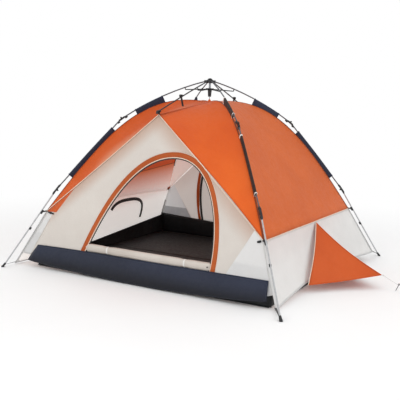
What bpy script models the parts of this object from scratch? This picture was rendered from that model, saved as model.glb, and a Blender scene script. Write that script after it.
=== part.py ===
"""Pop-up dome tent with an umbrella hub: frame, hinged legs and canopy panels.

Metres, +Z up. The origin is the floor's centre on the ground, +X is the right side and -Y the door side.
"""

import math

import bmesh
import bpy
from mathutils import Vector

# Leg reach on the ground, and the leg's bends as (distance from the hub axis, height).
FOOT_X = 1.18
FOOT_Y = 1.13
FOOT_R = math.hypot(FOOT_X, FOOT_Y)
LEG_TURN = math.degrees(math.atan2(FOOT_Y, FOOT_X))
HUB_PIN = (0.040, 1.494)
ELBOW_ONE = (0.714, 1.177)
ELBOW_TWO = (1.221, 0.612)
UPPER_BOW = 0.031
MIDDLE_BOW = 0.006
PIN_ONE_OUT = 0.012
PIN_TWO_IN = 0.012
ARM_TIP = (0.767, 1.246)
ARM_BOW = 0.004

# Poles, struts and knuckles.
POLE_R = 0.005
LOWER_POLE_R = 0.0055
KNUCKLE_LENGTH = 0.027
KNUCKLE_HALF = 0.0075
KNUCKLE_SIDE = 0.0080
EAR_HALF = 0.0055
EAR_WIDTH = 0.0055
SOCKET_RIM = 0.0008
GAP = 0.0004
STRUT_PIN_R = 0.027
STRUT_PIN_Z = 1.432
STRUT_REACH = 0.209
STRUT_END_Z = 1.441
ARM_STRUT_END_Z = 1.436
BRACKET_DROP = 0.018
BRACKET_RUN = 0.014
BRACKET_START = 0.100
STRUT_SIDE = 0.0072
STRUT_WIDTH = 0.003
STRUT_HEIGHT = 0.008
SOCKET_DEPTH = 0.010
PIN_END = 0.005
FOOT_PAD_R = 0.012
FOOT_PAD_HEIGHT = 0.009
FOOT_NECK_R = 0.008
FOOT_LENGTH = 0.036

# Hub.
CROWN_LOW = 1.482
CROWN_TOP = 1.512
CROWN_R = 0.047
CROWN_SHOULDER = 1.5035
CROWN_SLOT = 0.0058
CROWN_SLOT_R = 0.030
RUNNER_TOP = 1.440
RUNNER_RING_LOW = 1.424
RUNNER_LOW = 1.372
RUNNER_RING_R = 0.033
RUNNER_BODY_R = 0.0168
RUNNER_ROOT_R = 0.019
RUNNER_TOOTH = 0.0050
RUNNER_BORE = 0.0096
ROD_R = 0.0045
TUBE_WALL = 0.0011
TUBE_STEP = 0.0015
TUBE_GAP = 0.0003
COLUMN_TOP = 1.4816
COLUMN_LOW = 1.3755

# Fabric.
CLOTH = 0.003
APEX_Z = 1.327
RIDGE_SHOULDER = (0.550, 1.420)
RIDGE_HIP = (0.850, 1.048)
CORNER_X = 0.938
CORNER_Y = 0.897
CORNER_Z = 0.440
PEAK_Y = 0.746
PEAK_Z = 1.228
BASE_X = 1.050
BASE_Y = 0.930
SIDE_HEM_X = 1.130
SIDE_HEM_Y = 0.965
SIDE_HEM_TUCK = 0.055
HEM_Z = 0.008
HEM_ARCH = 0.050
SEAM_GAP = 0.004
GORE_START = 0.075
GORE_SAG = 0.055
GORE_HINGE = (0.110, 1.320)
WALL_LEAN = 0.15
WALL_INSET = 0.030
WALL_MIDDLE_Z = 0.500
FLOOR_HALF_X = 1.000
FLOOR_HALF_Y = 0.885
DOOR_SILL_Z = 0.165
DOOR_HALF = 0.548
DOOR_TOP = (0.190, 0.930)
DOOR_LEFT_PULL = ((-0.425, 0.460), (-0.190, 0.930))
DOOR_RIGHT_PULL = ((0.490, 0.930), (0.602, 0.540))
FLOOR_THICK = 0.004
FLOOR_SPLIT_Y = 0.020
SLEEVE_SIDE = 0.0085
SLEEVE_TOP = 0.0080
SLEEVE_DEPTH = 0.016
SLEEVE_BORE = 0.0064
ROLL_R = 0.026
ROLL_HALF = 0.500
ROLL_Y = -0.868
SLIDER_STATIONS = (
    (-0.034, 0.003, 0.002),
    (-0.010, 0.004, 0.003),
    (-0.008, 0.006, 0.006),
    (0.010, 0.005, 0.006),
)
VENT_TOP = (0.962, 0.0, 0.425)
VENT_SIDE_Y = (-0.420, 0.420)
VENT_FOOT_X = 1.100
VENT_FOOT_Z = 0.058
VENT_TIP = (1.500, 0.0, 0.105)
PEG_HEAD = (1.635, 0.0, 0.048)
PEG_POINT = (1.613, 0.0, 0.001)

LEGS = {"fr": -LEG_TURN, "fl": LEG_TURN - 180.0, "rr": LEG_TURN, "rl": 180.0 - LEG_TURN}
ARMS = {"front": -90.0, "rear": 90.0}


def clear_scene():
    for item in list(bpy.data.objects):
        bpy.data.objects.remove(item, do_unlink=True)


def material(name, colour, roughness, metallic=0.0):
    made = bpy.data.materials.new(name)
    made.use_nodes = True
    shader = made.node_tree.nodes["Principled BSDF"]
    shader.inputs["Base Color"].default_value = (*colour, 1.0)
    shader.inputs["Roughness"].default_value = roughness
    shader.inputs["Metallic"].default_value = metallic
    made.diffuse_color = (*colour, 1.0)
    return made


def finish_mesh(name, rings_bmesh, smooth=True):
    bmesh.ops.remove_doubles(rings_bmesh, verts=rings_bmesh.verts, dist=0.00001)
    bmesh.ops.recalc_face_normals(rings_bmesh, faces=rings_bmesh.faces)
    mesh = bpy.data.meshes.new(name)
    rings_bmesh.to_mesh(mesh)
    rings_bmesh.free()
    if smooth:
        for face in mesh.polygons:
            face.use_smooth = True
        mesh.set_sharp_from_angle(angle=math.radians(40))
    return mesh


def place(name, mesh, finish, location=(0.0, 0.0, 0.0), turn=0.0):
    """Put a mesh in the scene, turned about the vertical by an angle in degrees."""
    made = bpy.data.objects.new(name, mesh)
    made.location = location
    made.rotation_euler = (0.0, 0.0, math.radians(turn))
    if not mesh.materials:
        mesh.materials.append(finish)
    bpy.context.scene.collection.objects.link(made)
    return made


def bridge(bm, low, high):
    count = len(low)
    for index in range(count):
        after = (index + 1) % count
        bm.faces.new((low[index], low[after], high[after], high[index]))


def loft(bm, rings, closed=False):
    """Join rings of points into a skin; a closed loft also joins its last ring to its first."""
    loops = [[bm.verts.new(point) for point in ring] for ring in rings]
    for low, high in zip(loops, loops[1:]):
        bridge(bm, low, high)
    if closed:
        bridge(bm, loops[-1], loops[0])
    else:
        bm.faces.new(list(reversed(loops[0])))
        bm.faces.new(loops[-1])


def circle(radius, height, sides, centre=(0.0, 0.0)):
    step = 2.0 * math.pi / sides
    return [
        (centre[0] + radius * math.cos(step * i), centre[1] + radius * math.sin(step * i), height)
        for i in range(sides)
    ]


def round_section(radius, sides=10):
    """Cross-section as (up, sideways) offsets from a path."""
    step = 2.0 * math.pi / sides
    return [(radius * math.cos(step * i), radius * math.sin(step * i)) for i in range(sides)]


def fin_section(top, side, depth, sides=12):
    """Round over the pole and drawn out below it, as (up, sideways) offsets."""
    points = []
    for index in range(sides):
        swing = 2.0 * math.pi * index / sides
        up = math.cos(swing)
        points.append((up * (top if up > 0 else depth), side * math.sin(swing)))
    return points


def path_rings(path, sections, side=0.0):
    """Rings of points along a path of (out, up) points that lies in the leg's own upright plane."""
    rings = []
    for index, point in enumerate(path):
        before = path[max(index - 1, 0)]
        after = path[min(index + 1, len(path) - 1)]
        slope = Vector((after[0] - before[0], after[1] - before[1])).normalized()
        section = sections[index] if isinstance(sections[0][0], (list, tuple)) else sections
        rings.append(
            [(point[0] - up * slope.y, side + across, point[1] + up * slope.x) for up, across in section]
        )
    return rings


def minus(path, origin):
    return [(point[0] - origin[0], point[1] - origin[1]) for point in path]


def bowed(start, end, bow, low=0.0, high=1.0, steps=8):
    """Points on a pole between two bends; the bow is how far its middle stands out from the straight line."""
    run = Vector((end[0] - start[0], end[1] - start[1]))
    outward = Vector((-run.y, run.x)).normalized()
    if outward.y < 0:
        outward.negate()
    points = []
    for index in range(steps + 1):
        share = low + (high - low) * index / steps
        lift = 4.0 * bow * share * (1.0 - share)
        point = Vector(start) + run * share + outward * lift
        points.append((point.x, point.y))
    return points


def bend_normal(before, bend, after):
    """Direction across a bend, away from the ground."""
    one = Vector((bend[0] - before[0], bend[1] - before[1])).normalized()
    two = Vector((after[0] - bend[0], after[1] - bend[1])).normalized()
    along = (one + two).normalized()
    return Vector((-along.y, along.x)), along


FOOT_POINT = (FOOT_R, 0.0)
OUT_ONE, ALONG_ONE = bend_normal(HUB_PIN, ELBOW_ONE, ELBOW_TWO)
OUT_TWO, ALONG_TWO = bend_normal(ELBOW_ONE, ELBOW_TWO, FOOT_POINT)
PIN_ONE = (ELBOW_ONE[0] + OUT_ONE.x * PIN_ONE_OUT, ELBOW_ONE[1] + OUT_ONE.y * PIN_ONE_OUT)
PIN_TWO = (ELBOW_TWO[0] - OUT_TWO.x * PIN_TWO_IN, ELBOW_TWO[1] - OUT_TWO.y * PIN_TWO_IN)


def leg_point(radius, height, turn):
    angle = math.radians(turn)
    return (radius * math.cos(angle), radius * math.sin(angle), height)


def prism(bm, outline, low_side, high_side):
    """Solid made by pushing an (out, up) outline sideways."""
    rings = [[(point[0], side, point[1]) for point in outline] for side in (low_side, high_side)]
    loft(bm, rings)


def solid(name, build):
    bm = bmesh.new()
    build(bm)
    mesh = finish_mesh(name, bm)
    made = bpy.data.objects.new(name, mesh)
    bpy.context.scene.collection.objects.link(made)
    return made


def joined(name, pieces):
    """One closed body from overlapping pieces."""
    base = pieces[0]
    for tool in pieces[1:]:
        cut = base.modifiers.new("join", "BOOLEAN")
        cut.operation = "UNION"
        cut.solver = "EXACT"
        cut.object = tool
    bpy.context.view_layer.update()
    evaluated = base.evaluated_get(bpy.context.evaluated_depsgraph_get())
    mesh = bpy.data.meshes.new_from_object(evaluated)
    mesh.name = name
    for piece in pieces:
        bpy.data.objects.remove(piece, do_unlink=True)
    for face in mesh.polygons:
        face.use_smooth = True
    mesh.set_sharp_from_angle(angle=math.radians(40))
    return mesh


def knuckle_outline(bend, along, pin, direction):
    """Block around the pole's end; direction is -1 before the bend and 1 after it."""
    up = Vector((-along.y, along.x))
    face = Vector(bend) + along * (direction * GAP)
    far = Vector(bend) + along * (direction * KNUCKLE_LENGTH)
    toward = 1.0 if (Vector(pin) - Vector(bend)).dot(up) > 0 else -1.0
    rise = (Vector(pin) - Vector(bend)).length - EAR_HALF - GAP
    corners = [
        face - up * (toward * KNUCKLE_HALF),
        face + up * (toward * rise),
        far + up * (toward * (POLE_R + SOCKET_RIM)),
        far - up * (toward * KNUCKLE_HALF),
    ]
    return [(corner.x, corner.y) for corner in corners]


def ear_outline(bend, along, pin, direction):
    """Ear that carries the half knuckle to its pin, rounded about the pin."""
    up = (Vector(pin) - Vector(bend)).normalized()
    near = Vector(bend) + along * (direction * 2.0 * GAP)
    far = Vector(bend) + along * (direction * (GAP + 2.0 * EAR_HALF))
    points = [(near.x, near.y), (far.x, far.y)]
    steps = 9
    for index in range(steps + 1):
        angle = 1.5 * math.pi * index / steps
        turned = along * (direction * math.cos(angle)) + up * math.sin(angle)
        tip = Vector(pin) + turned * EAR_HALF
        points.append((tip.x, tip.y))
    return points


def half_knuckle(name, bend, along, pin, direction, ear_low, origin):
    """Block and ear of one half of a knuckle, as two pieces still to be joined."""
    block = minus(knuckle_outline(bend, along, pin, direction), origin)
    ear = minus(ear_outline(bend, along, pin, direction), origin)
    first = solid(name + "_block", lambda bm: prism(bm, block, -KNUCKLE_SIDE, KNUCKLE_SIDE))
    second = solid(name + "_ear", lambda bm: prism(bm, ear, ear_low, ear_low + EAR_WIDTH))
    return [first, second]


def pole_piece(name, path, radius):
    return solid(name, lambda bm: loft(bm, path_rings(path, round_section(radius))))


def offset_along(bend, along, distance):
    return (bend[0] + along.x * distance, bend[1] + along.y * distance)


def upper_pole_mesh(name, start, end, bow, end_trim):
    length = math.dist(start, end)
    path = bowed(start, end, bow, -PIN_END / length, 1.0 - end_trim / length)
    bm = bmesh.new()
    loft(bm, path_rings(minus(path, start), round_section(POLE_R)))
    return finish_mesh(name, bm)


def middle_pole_mesh():
    """Pole between the bends, with the lower half of the first knuckle."""
    path = bowed(ELBOW_ONE, ELBOW_TWO, MIDDLE_BOW)
    start = offset_along(ELBOW_ONE, ALONG_ONE, KNUCKLE_LENGTH - SOCKET_DEPTH)
    end = offset_along(ELBOW_TWO, ALONG_TWO, -(KNUCKLE_LENGTH + GAP))
    path = [start] + path[1:-1] + [end]
    pieces = [pole_piece("middle_rod", minus(path, PIN_ONE), POLE_R)]
    pieces += half_knuckle("middle", ELBOW_ONE, ALONG_ONE, PIN_ONE, 1.0, GAP, PIN_ONE)
    return joined("middle_pole", pieces)


def lower_pole_mesh():
    start = offset_along(ELBOW_TWO, ALONG_TWO, KNUCKLE_LENGTH - SOCKET_DEPTH)
    down = (Vector(FOOT_POINT) - Vector(ELBOW_TWO)).normalized()
    end = offset_along(FOOT_POINT, down, -(FOOT_LENGTH + GAP))
    middle = ((start[0] + end[0]) / 2.0, (start[1] + end[1]) / 2.0)
    path = [start, middle, end]
    pieces = [pole_piece("lower_rod", minus(path, PIN_TWO), LOWER_POLE_R)]
    pieces += half_knuckle("lower", ELBOW_TWO, ALONG_TWO, PIN_TWO, 1.0, GAP, PIN_TWO)
    return joined("lower_pole", pieces)


def foot_mesh():
    """Cap that leaves the pole at its slope and ends in a flat round pad on the ground."""
    down = (Vector(FOOT_POINT) - Vector(ELBOW_TWO)).normalized()
    top = offset_along(FOOT_POINT, down, -FOOT_LENGTH)
    across = Vector((-down.y, down.x))
    sides = 14
    neck = []
    for out, side, _ in circle(FOOT_NECK_R, 0.0, sides):
        neck.append((top[0] + across.x * out, side, top[1] + across.y * out))
    pad_low = circle(FOOT_PAD_R, 0.0, sides, FOOT_POINT)
    pad_top = circle(FOOT_PAD_R, FOOT_PAD_HEIGHT, sides, FOOT_POINT)
    collar = circle(FOOT_PAD_R - 0.001, FOOT_PAD_HEIGHT + 0.003, sides, (FOOT_POINT[0] - 0.006, 0.0))
    rings = [pad_low, pad_top, collar, neck]
    bm = bmesh.new()
    loft(bm, [[(x - PIN_TWO[0], y, z - PIN_TWO[1]) for x, y, z in ring] for ring in rings])
    return finish_mesh("foot", bm)


def strut_mesh(name, end_z):
    """Flat bar from the runner's pin with an upturned bracket beside the arm; its outer pin is left open."""
    start = (STRUT_PIN_R, STRUT_PIN_Z)
    end = (STRUT_REACH, end_z)
    corner = (end[0] - BRACKET_RUN * 0.4, end_z - BRACKET_DROP)
    run = (Vector(corner) - Vector(start)).normalized()
    path = [offset_along(start, run, -PIN_END), offset_along(start, run, BRACKET_START)]
    path += [(corner[0] - BRACKET_RUN, corner[1] + 0.0005), corner, (end[0] - 0.001, end[1] - 0.005), end]
    half = STRUT_WIDTH / 2.0
    tall = STRUT_HEIGHT / 2.0
    section = [(tall, half), (tall, -half), (-tall, -half), (-tall, half)]
    sections = [section] * len(path)
    bm = bmesh.new()
    loft(bm, path_rings(minus(path, start), sections, STRUT_SIDE))
    return finish_mesh(name, bm, smooth=False)


def elbow_mesh(name, bend, along, pin, origin):
    return joined(name, half_knuckle(name, bend, along, pin, -1.0, -GAP - EAR_WIDTH, origin))


def sleeve_mesh(name, start, end, bow, low, high, origin):
    """Cloth tube round a pole, drawn out towards the canopy and open at both ends."""
    path = minus(bowed(start, end, bow, low, high, 5), origin)
    outer = path_rings(path, fin_section(SLEEVE_TOP, SLEEVE_SIDE, SLEEVE_DEPTH))
    inner = path_rings(path, round_section(SLEEVE_BORE, 12))
    bm = bmesh.new()
    loft(bm, outer + list(reversed(inner)), closed=True)
    return finish_mesh(name, bm)


def build_leg(name, turn, meshes, paints):
    hub = leg_point(*HUB_PIN, turn)
    runner = leg_point(STRUT_PIN_R, STRUT_PIN_Z, turn)
    first = leg_point(*PIN_ONE, turn)
    second = leg_point(*PIN_TWO, turn)
    places = [
        ("upper_pole", "pole", hub),
        ("elbow_one", "black", hub),
        ("sleeve_upper", "navy", hub),
        ("strut", "steel", runner),
        ("middle_pole", "pole", first),
        ("elbow_two", "black", first),
        ("sleeve_middle", "navy", first),
        ("lower_pole", "pole", second),
        ("foot", "black", second),
    ]
    for part, paint, location in places:
        place(f"{part}_{name}", meshes[part], paints[paint], location, turn)


def leg_meshes():
    return {
        "upper_pole": upper_pole_mesh("upper_pole", HUB_PIN, ELBOW_ONE, UPPER_BOW, KNUCKLE_LENGTH + GAP),
        "elbow_one": elbow_mesh("elbow_one", ELBOW_ONE, ALONG_ONE, PIN_ONE, HUB_PIN),
        "sleeve_upper": sleeve_mesh("sleeve_upper", HUB_PIN, ELBOW_ONE, UPPER_BOW, 0.50, 0.83, HUB_PIN),
        "strut": strut_mesh("strut", STRUT_END_Z),
        "middle_pole": middle_pole_mesh(),
        "elbow_two": elbow_mesh("elbow_two", ELBOW_TWO, ALONG_TWO, PIN_TWO, PIN_ONE),
        "sleeve_middle": sleeve_mesh("sleeve_middle", ELBOW_ONE, ELBOW_TWO, MIDDLE_BOW, 0.14, 0.81, PIN_ONE),
        "lower_pole": lower_pole_mesh(),
        "foot": foot_mesh(),
    }


def arm_mesh():
    """Short arm with a hook that turns down and back to hold the canopy's peak."""
    arm = solid("arm_rod", lambda bm: loft(bm, path_rings(minus(arm_path(), HUB_PIN), round_section(POLE_R))))
    tip = Vector(ARM_TIP)
    hook = [
        (tip.x - 0.034, tip.y + 0.018),
        (tip.x + 0.008, tip.y + 0.004),
        (tip.x + 0.010, tip.y - 0.014),
        (tip.x - 0.012, tip.y - 0.014),
        (tip.x - 0.012, tip.y - 0.007),
        (tip.x - 0.038, tip.y + 0.004),
    ]
    block = solid("arm_hook", lambda bm: prism(bm, minus(hook, HUB_PIN), -0.007, 0.007))
    return joined("arm", [arm, block])


def arm_path():
    return bowed(HUB_PIN, ARM_TIP, ARM_BOW, -0.006, 0.985, 5)


def build_arm(name, turn, arm, strut, paints):
    place(f"arm_{name}", arm, paints["black"], leg_point(*HUB_PIN, turn), turn)
    place(f"arm_strut_{name}", strut, paints["steel"], leg_point(STRUT_PIN_R, STRUT_PIN_Z, turn), turn)


def keyed_outline(body, key, half_key, turns, height, steps):
    """Round outline with a straight-sided key at each arm: a notch if key is less than body, or a tooth."""
    points = []
    ordered = sorted(turns)
    root = math.sqrt(body * body - half_key * half_key)
    spread = math.degrees(math.asin(half_key / body))
    for index, turn in enumerate(ordered):
        angle = math.radians(turn)
        out = Vector((math.cos(angle), math.sin(angle)))
        side = Vector((-out.y, out.x))
        corners = ((root, -half_key), (key, -half_key), (key, half_key), (root, half_key))
        for radius, across in corners:
            corner = out * radius + side * across
            points.append((corner.x, corner.y, height))
        last = index == len(ordered) - 1
        after = ordered[0] + 360.0 if last else ordered[index + 1]
        low, high = turn + spread, after - spread
        for step in range(1, steps):
            swing = math.radians(low + (high - low) * step / steps)
            points.append((body * math.cos(swing), body * math.sin(swing), height))
    return points


def rounded_like(outline, radius, height):
    """Ring of the same point count as an outline, at one radius."""
    ring = []
    for x, y, _ in outline:
        length = math.hypot(x, y)
        ring.append((x / length * radius, y / length * radius, height))
    return ring


def build_crown(turns, finish):
    notched = keyed_outline(CROWN_R, CROWN_SLOT_R, CROWN_SLOT, turns, CROWN_LOW, 6)
    rings = [rounded_like(notched, 0.020, CROWN_LOW), notched]
    rings += [[(x, y, CROWN_SHOULDER) for x, y, _ in notched]]
    domed = ((0.027, CROWN_SHOULDER + 0.001), (0.019, CROWN_SHOULDER + 0.006), (0.013, CROWN_TOP))
    for radius, height in domed:
        rings.append(rounded_like(notched, radius, height))
    bm = bmesh.new()
    loft(bm, rings)
    place("hub_crown", finish_mesh("hub_crown", bm), finish)


def build_runner(turns, finish):
    toothed = keyed_outline(RUNNER_ROOT_R, RUNNER_RING_R, RUNNER_TOOTH, turns, RUNNER_RING_LOW, 3)
    rings = [toothed, [(x, y, RUNNER_TOP) for x, y, _ in toothed]]
    body = (
        (RUNNER_BORE, RUNNER_TOP),
        (RUNNER_BORE, RUNNER_LOW),
        (RUNNER_BORE + 0.0029, RUNNER_LOW),
        (RUNNER_BODY_R - 0.0013, RUNNER_RING_LOW - 0.012),
        (RUNNER_BODY_R, RUNNER_RING_LOW),
    )
    for radius, height in body:
        rings.append(rounded_like(toothed, radius, height))
    bm = bmesh.new()
    loft(bm, [[(x, y, z - RUNNER_TOP) for x, y, z in ring] for ring in rings], closed=True)
    place("hub_runner", finish_mesh("hub_runner", bm), finish, (0.0, 0.0, RUNNER_TOP))


def build_column(finish):
    """Rod and three nested tubes that the runner slides down."""
    bm = bmesh.new()
    loft(bm, [circle(ROD_R, COLUMN_LOW, 12), circle(ROD_R, COLUMN_TOP, 12)])
    place("hub_rod", finish_mesh("hub_rod", bm), finish)
    low = COLUMN_LOW - COLUMN_TOP
    for index in range(3):
        bore = ROD_R + TUBE_GAP + index * TUBE_STEP
        wall = bore + TUBE_WALL
        rings = [circle(wall, low, 14), circle(wall, 0.0, 14), circle(bore, 0.0, 14), circle(bore, low, 14)]
        bm = bmesh.new()
        loft(bm, rings, closed=True)
        place(f"hub_tube_{index + 1}", finish_mesh("hub_tube", bm), finish, (0.0, 0.0, COLUMN_TOP))


def build_hub(paints):
    turns = list(LEGS.values()) + list(ARMS.values())
    build_crown(turns, paints["black"])
    build_runner(turns, paints["black"])
    build_column(paints["steel"])


def ridge(share):
    """Canopy ridge under a leg, from the apex (0) to its corner clip (1), as (out, up)."""
    rest = 1.0 - share
    points = ((0.0, APEX_Z), RIDGE_SHOULDER, RIDGE_HIP, (math.hypot(CORNER_X, CORNER_Y), CORNER_Z))
    weights = (rest ** 3, 3.0 * rest * rest * share, 3.0 * rest * share * share, share ** 3)
    out = sum(weight * point[0] for weight, point in zip(weights, points))
    up = sum(weight * point[1] for weight, point in zip(weights, points))
    return out, up


def sheet(name, rows, finish, origin, hole_rows=False):
    """Cloth from rows of points, thickened; a ring of rows closes on itself."""
    bm = bmesh.new()
    grid = [[bm.verts.new(Vector(p) - Vector(origin)) for p in row] for row in rows]
    for low, high in zip(grid, grid[1:]):
        count = len(low)
        for index in range(count if hole_rows else count - 1):
            after = (index + 1) % count
            bm.faces.new((low[index], low[after], high[after], high[index]))
    bmesh.ops.remove_doubles(bm, verts=bm.verts, dist=0.0005)
    bmesh.ops.recalc_face_normals(bm, faces=bm.faces)
    mesh = bpy.data.meshes.new(name)
    bm.to_mesh(mesh)
    bm.free()
    for face in mesh.polygons:
        face.use_smooth = True
    made = place(name, mesh, finish, origin)
    thick = made.modifiers.new("cloth", "SOLIDIFY")
    thick.thickness = CLOTH
    thick.offset = 0.0
    thick.use_even_offset = True
    return made


def side_gore(name, sign, finish):
    """Roof panel between a front and a rear leg; sign is 1 on the right and -1 on the left."""
    rows = []
    for row in range(9):
        share = GORE_START + (1.0 - GORE_START) * row / 8
        out, up = ridge(share)
        x = out * CORNER_X / math.hypot(CORNER_X, CORNER_Y)
        half = out * CORNER_Y / math.hypot(CORNER_X, CORNER_Y) - SEAM_GAP
        sag = GORE_SAG * math.sin(math.pi * share) * share
        line = []
        for column in range(7):
            across = -1.0 + 2.0 * column / 6
            dip = sag * (1.0 - across * across)
            line.append((sign * (x - dip * 0.7), half * across, up - dip * 0.7))
        rows.append(line)
    return sheet(name, rows, finish, (sign * GORE_HINGE[0], 0.0, GORE_HINGE[1]))


def end_gore(name, sign, finish):
    """Roof panel between two legs at one end, lifted in the middle to the peak; sign is -1 at the front."""
    rows = []
    for row in range(9):
        share = GORE_START + (1.0 - GORE_START) * row / 8
        out, up = ridge(share)
        half = out * CORNER_X / math.hypot(CORNER_X, CORNER_Y) - SEAM_GAP
        depth = out * CORNER_Y / math.hypot(CORNER_X, CORNER_Y)
        middle = (PEAK_Y * share, APEX_Z + (PEAK_Z - APEX_Z) * share)
        line = []
        for column in range(9):
            across = -1.0 + 2.0 * column / 8
            part = abs(across)
            y = middle[0] + (depth - middle[0]) * part
            z = middle[1] + (up - middle[1]) * part
            line.append((half * across, sign * y, z))
        rows.append(line)
    return sheet(name, rows, finish, (0.0, sign * GORE_HINGE[0], GORE_HINGE[1]))


def side_wall(name, sign, finish):
    """Wall under a side gore, with its hem drawn in and lifted between two flared corners."""
    rows = []
    for row in range(4):
        share = row / 3
        line = []
        for column in range(9):
            across = -1.0 + 2.0 * column / 8
            top = (CORNER_X, CORNER_Y * across, CORNER_Z - 0.006)
            arch = 1.0 - across * across
            hem = (SIDE_HEM_X - SIDE_HEM_TUCK * arch, SIDE_HEM_Y * across, HEM_Z + HEM_ARCH * arch)
            line.append(tuple(a + (b - a) * share for a, b in zip(top, hem)))
        rows.append([(sign * x, y, z) for x, y, z in line])
    return sheet(name, rows, finish, (sign * CORNER_X, 0.0, 0.0))


def wall_depth(height):
    """How far out an end wall stands at a height."""
    return BASE_Y - WALL_LEAN * height


def end_wall_outline():
    """Corners of an end wall as (sideways, up): hem, corner clips and peak."""
    return [
        (-BASE_X + WALL_INSET, HEM_Z),
        (BASE_X - WALL_INSET, HEM_Z),
        (CORNER_X - 0.02, CORNER_Z - 0.006),
        (0.0, PEAK_Z - 0.012),
        (-CORNER_X + 0.02, CORNER_Z - 0.006),
    ]


def end_wall_angles(sides, centre_z):
    """Even directions round a wall's middle, with the nearest one moved onto each corner."""
    step = 2.0 * math.pi / sides
    angles = [step * (index + 0.5) for index in range(sides)]
    for x, z in end_wall_outline():
        corner = math.atan2(z - centre_z, x) % (2.0 * math.pi)
        angles[int(corner / step) % sides] = corner
    return angles


def curve(start, pulls, end, steps):
    """Points on a smooth curve between two ends with two control points, the last end left out."""
    points = []
    for index in range(steps):
        share = index / steps
        rest = 1.0 - share
        weights = (rest ** 3, 3.0 * rest * rest * share, 3.0 * rest * share * share, share ** 3)
        controls = (start, pulls[0], pulls[1], end)
        x = sum(weight * point[0] for weight, point in zip(weights, controls))
        z = sum(weight * point[1] for weight, point in zip(weights, controls))
        points.append((x, z))
    return points


def door_outline():
    """Arched doorway as (sideways, up), anticlockwise from the sill's left end."""
    left = (-DOOR_HALF, DOOR_SILL_Z)
    right = (DOOR_HALF, DOOR_SILL_Z)
    rise = curve(left, DOOR_LEFT_PULL, DOOR_TOP, 14)
    fall = curve(DOOR_TOP, DOOR_RIGHT_PULL, right, 14)
    return list(reversed(rise + fall + [right]))


def outline_hit(outline, angle, centre_z):
    """Where a direction from the wall's middle meets an outline, as (sideways, up)."""
    ray = Vector((math.cos(angle), math.sin(angle)))
    best = 9.0
    for index, start in enumerate(outline):
        end = outline[(index + 1) % len(outline)]
        side = Vector((end[0] - start[0], end[1] - start[1]))
        gap = Vector((start[0], start[1] - centre_z))
        cross = ray.x * side.y - ray.y * side.x
        if abs(cross) < 0.000001:
            continue
        reach = (gap.x * side.y - gap.y * side.x) / cross
        along = (gap.x * ray.y - gap.y * ray.x) / cross
        if reach > 0.0 and -0.0001 <= along <= 1.0001:
            best = min(best, reach)
    return ray.x * best, centre_z + ray.y * best


def end_wall(name, sign, finish, door):
    """Flat wall under an end gore; with a doorway, its inner ring is the doorway's edge."""
    centre_z = WALL_MIDDLE_Z
    sides = 48 if door else 24
    rows = []
    angles = end_wall_angles(sides, centre_z)
    shares = (0.0, 0.5, 1.0) if door else (0.0, 0.4, 1.0)
    for share in shares:
        line = []
        for angle in angles:
            far = outline_hit(end_wall_outline(), angle, centre_z)
            near = outline_hit(door_outline(), angle, centre_z) if door else (0.02 * far[0], centre_z)
            x = near[0] + (far[0] - near[0]) * share
            z = near[1] + (far[1] - near[1]) * share
            line.append((x, sign * wall_depth(z), z))
        rows.append(line)
    made = sheet(name, rows, finish, (0.0, sign * BASE_Y, 0.0), hole_rows=True)
    if not door:
        fill_middle(made.data)
    return made


def fill_middle(mesh):
    """Close the small ring in the middle of a wall that has no doorway."""
    bm = bmesh.new()
    bm.from_mesh(mesh)
    middle = sum((vert.co for vert in bm.verts), Vector()) / len(bm.verts)
    rim = [edge for edge in bm.edges if len(edge.link_faces) == 1]
    near = [edge for edge in rim if (edge.verts[0].co - Vector((0.0, middle.y, WALL_MIDDLE_Z))).length < 0.2]
    bmesh.ops.contextual_create(bm, geom=near)
    bmesh.ops.recalc_face_normals(bm, faces=bm.faces)
    bm.to_mesh(mesh)
    bm.free()


def floor_half(name, low_y, high_y, hinge_y, finish):
    """Half of the groundsheet, hinged at the middle of the tent."""
    half_x = FLOOR_HALF_X
    outline = [(-half_x, low_y), (half_x, low_y), (half_x, high_y), (-half_x, high_y)]
    rings = [[(x, y - hinge_y, z) for x, y in outline] for z in (0.0, FLOOR_THICK)]
    bm = bmesh.new()
    loft(bm, rings)
    return place(name, finish_mesh(name, bm, smooth=False), finish, (0.0, hinge_y, 0.0))


def door_roll(finish):
    """Door panel rolled up along the sill, fuller in the middle."""
    rings = []
    for index in range(9):
        share = index / 8
        x = ROLL_HALF * (2.0 * share - 1.0)
        radius = ROLL_R * (0.78 + 0.22 * math.sin(math.pi * share))
        ring = circle(radius, 0.0, 12)
        rings.append([(x, across, up) for across, up, _ in ring])
    bm = bmesh.new()
    loft(bm, rings)
    place("door_roll", finish_mesh("door_roll", bm), finish, (0.0, ROLL_Y, DOOR_SILL_Z + 0.030))


def vent_awning(finish):
    """Hood with two sloping faces that meet on a ridge from the roof seam to the tip."""
    foot_front = (VENT_FOOT_X, VENT_SIDE_Y[0], VENT_FOOT_Z)
    foot_rear = (VENT_FOOT_X, VENT_SIDE_Y[1], VENT_FOOT_Z)
    rows = []
    for row in range(5):
        share = 0.04 + 0.96 * row / 4
        ridge_point = tuple(a + (b - a) * share for a, b in zip(VENT_TOP, VENT_TIP))
        left = tuple(a + (b - a) * share for a, b in zip(VENT_TOP, foot_front))
        right = tuple(a + (b - a) * share for a, b in zip(VENT_TOP, foot_rear))
        rows.append([left, ridge_point, right])
    return sheet("vent_awning", rows, finish, VENT_TOP)


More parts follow.
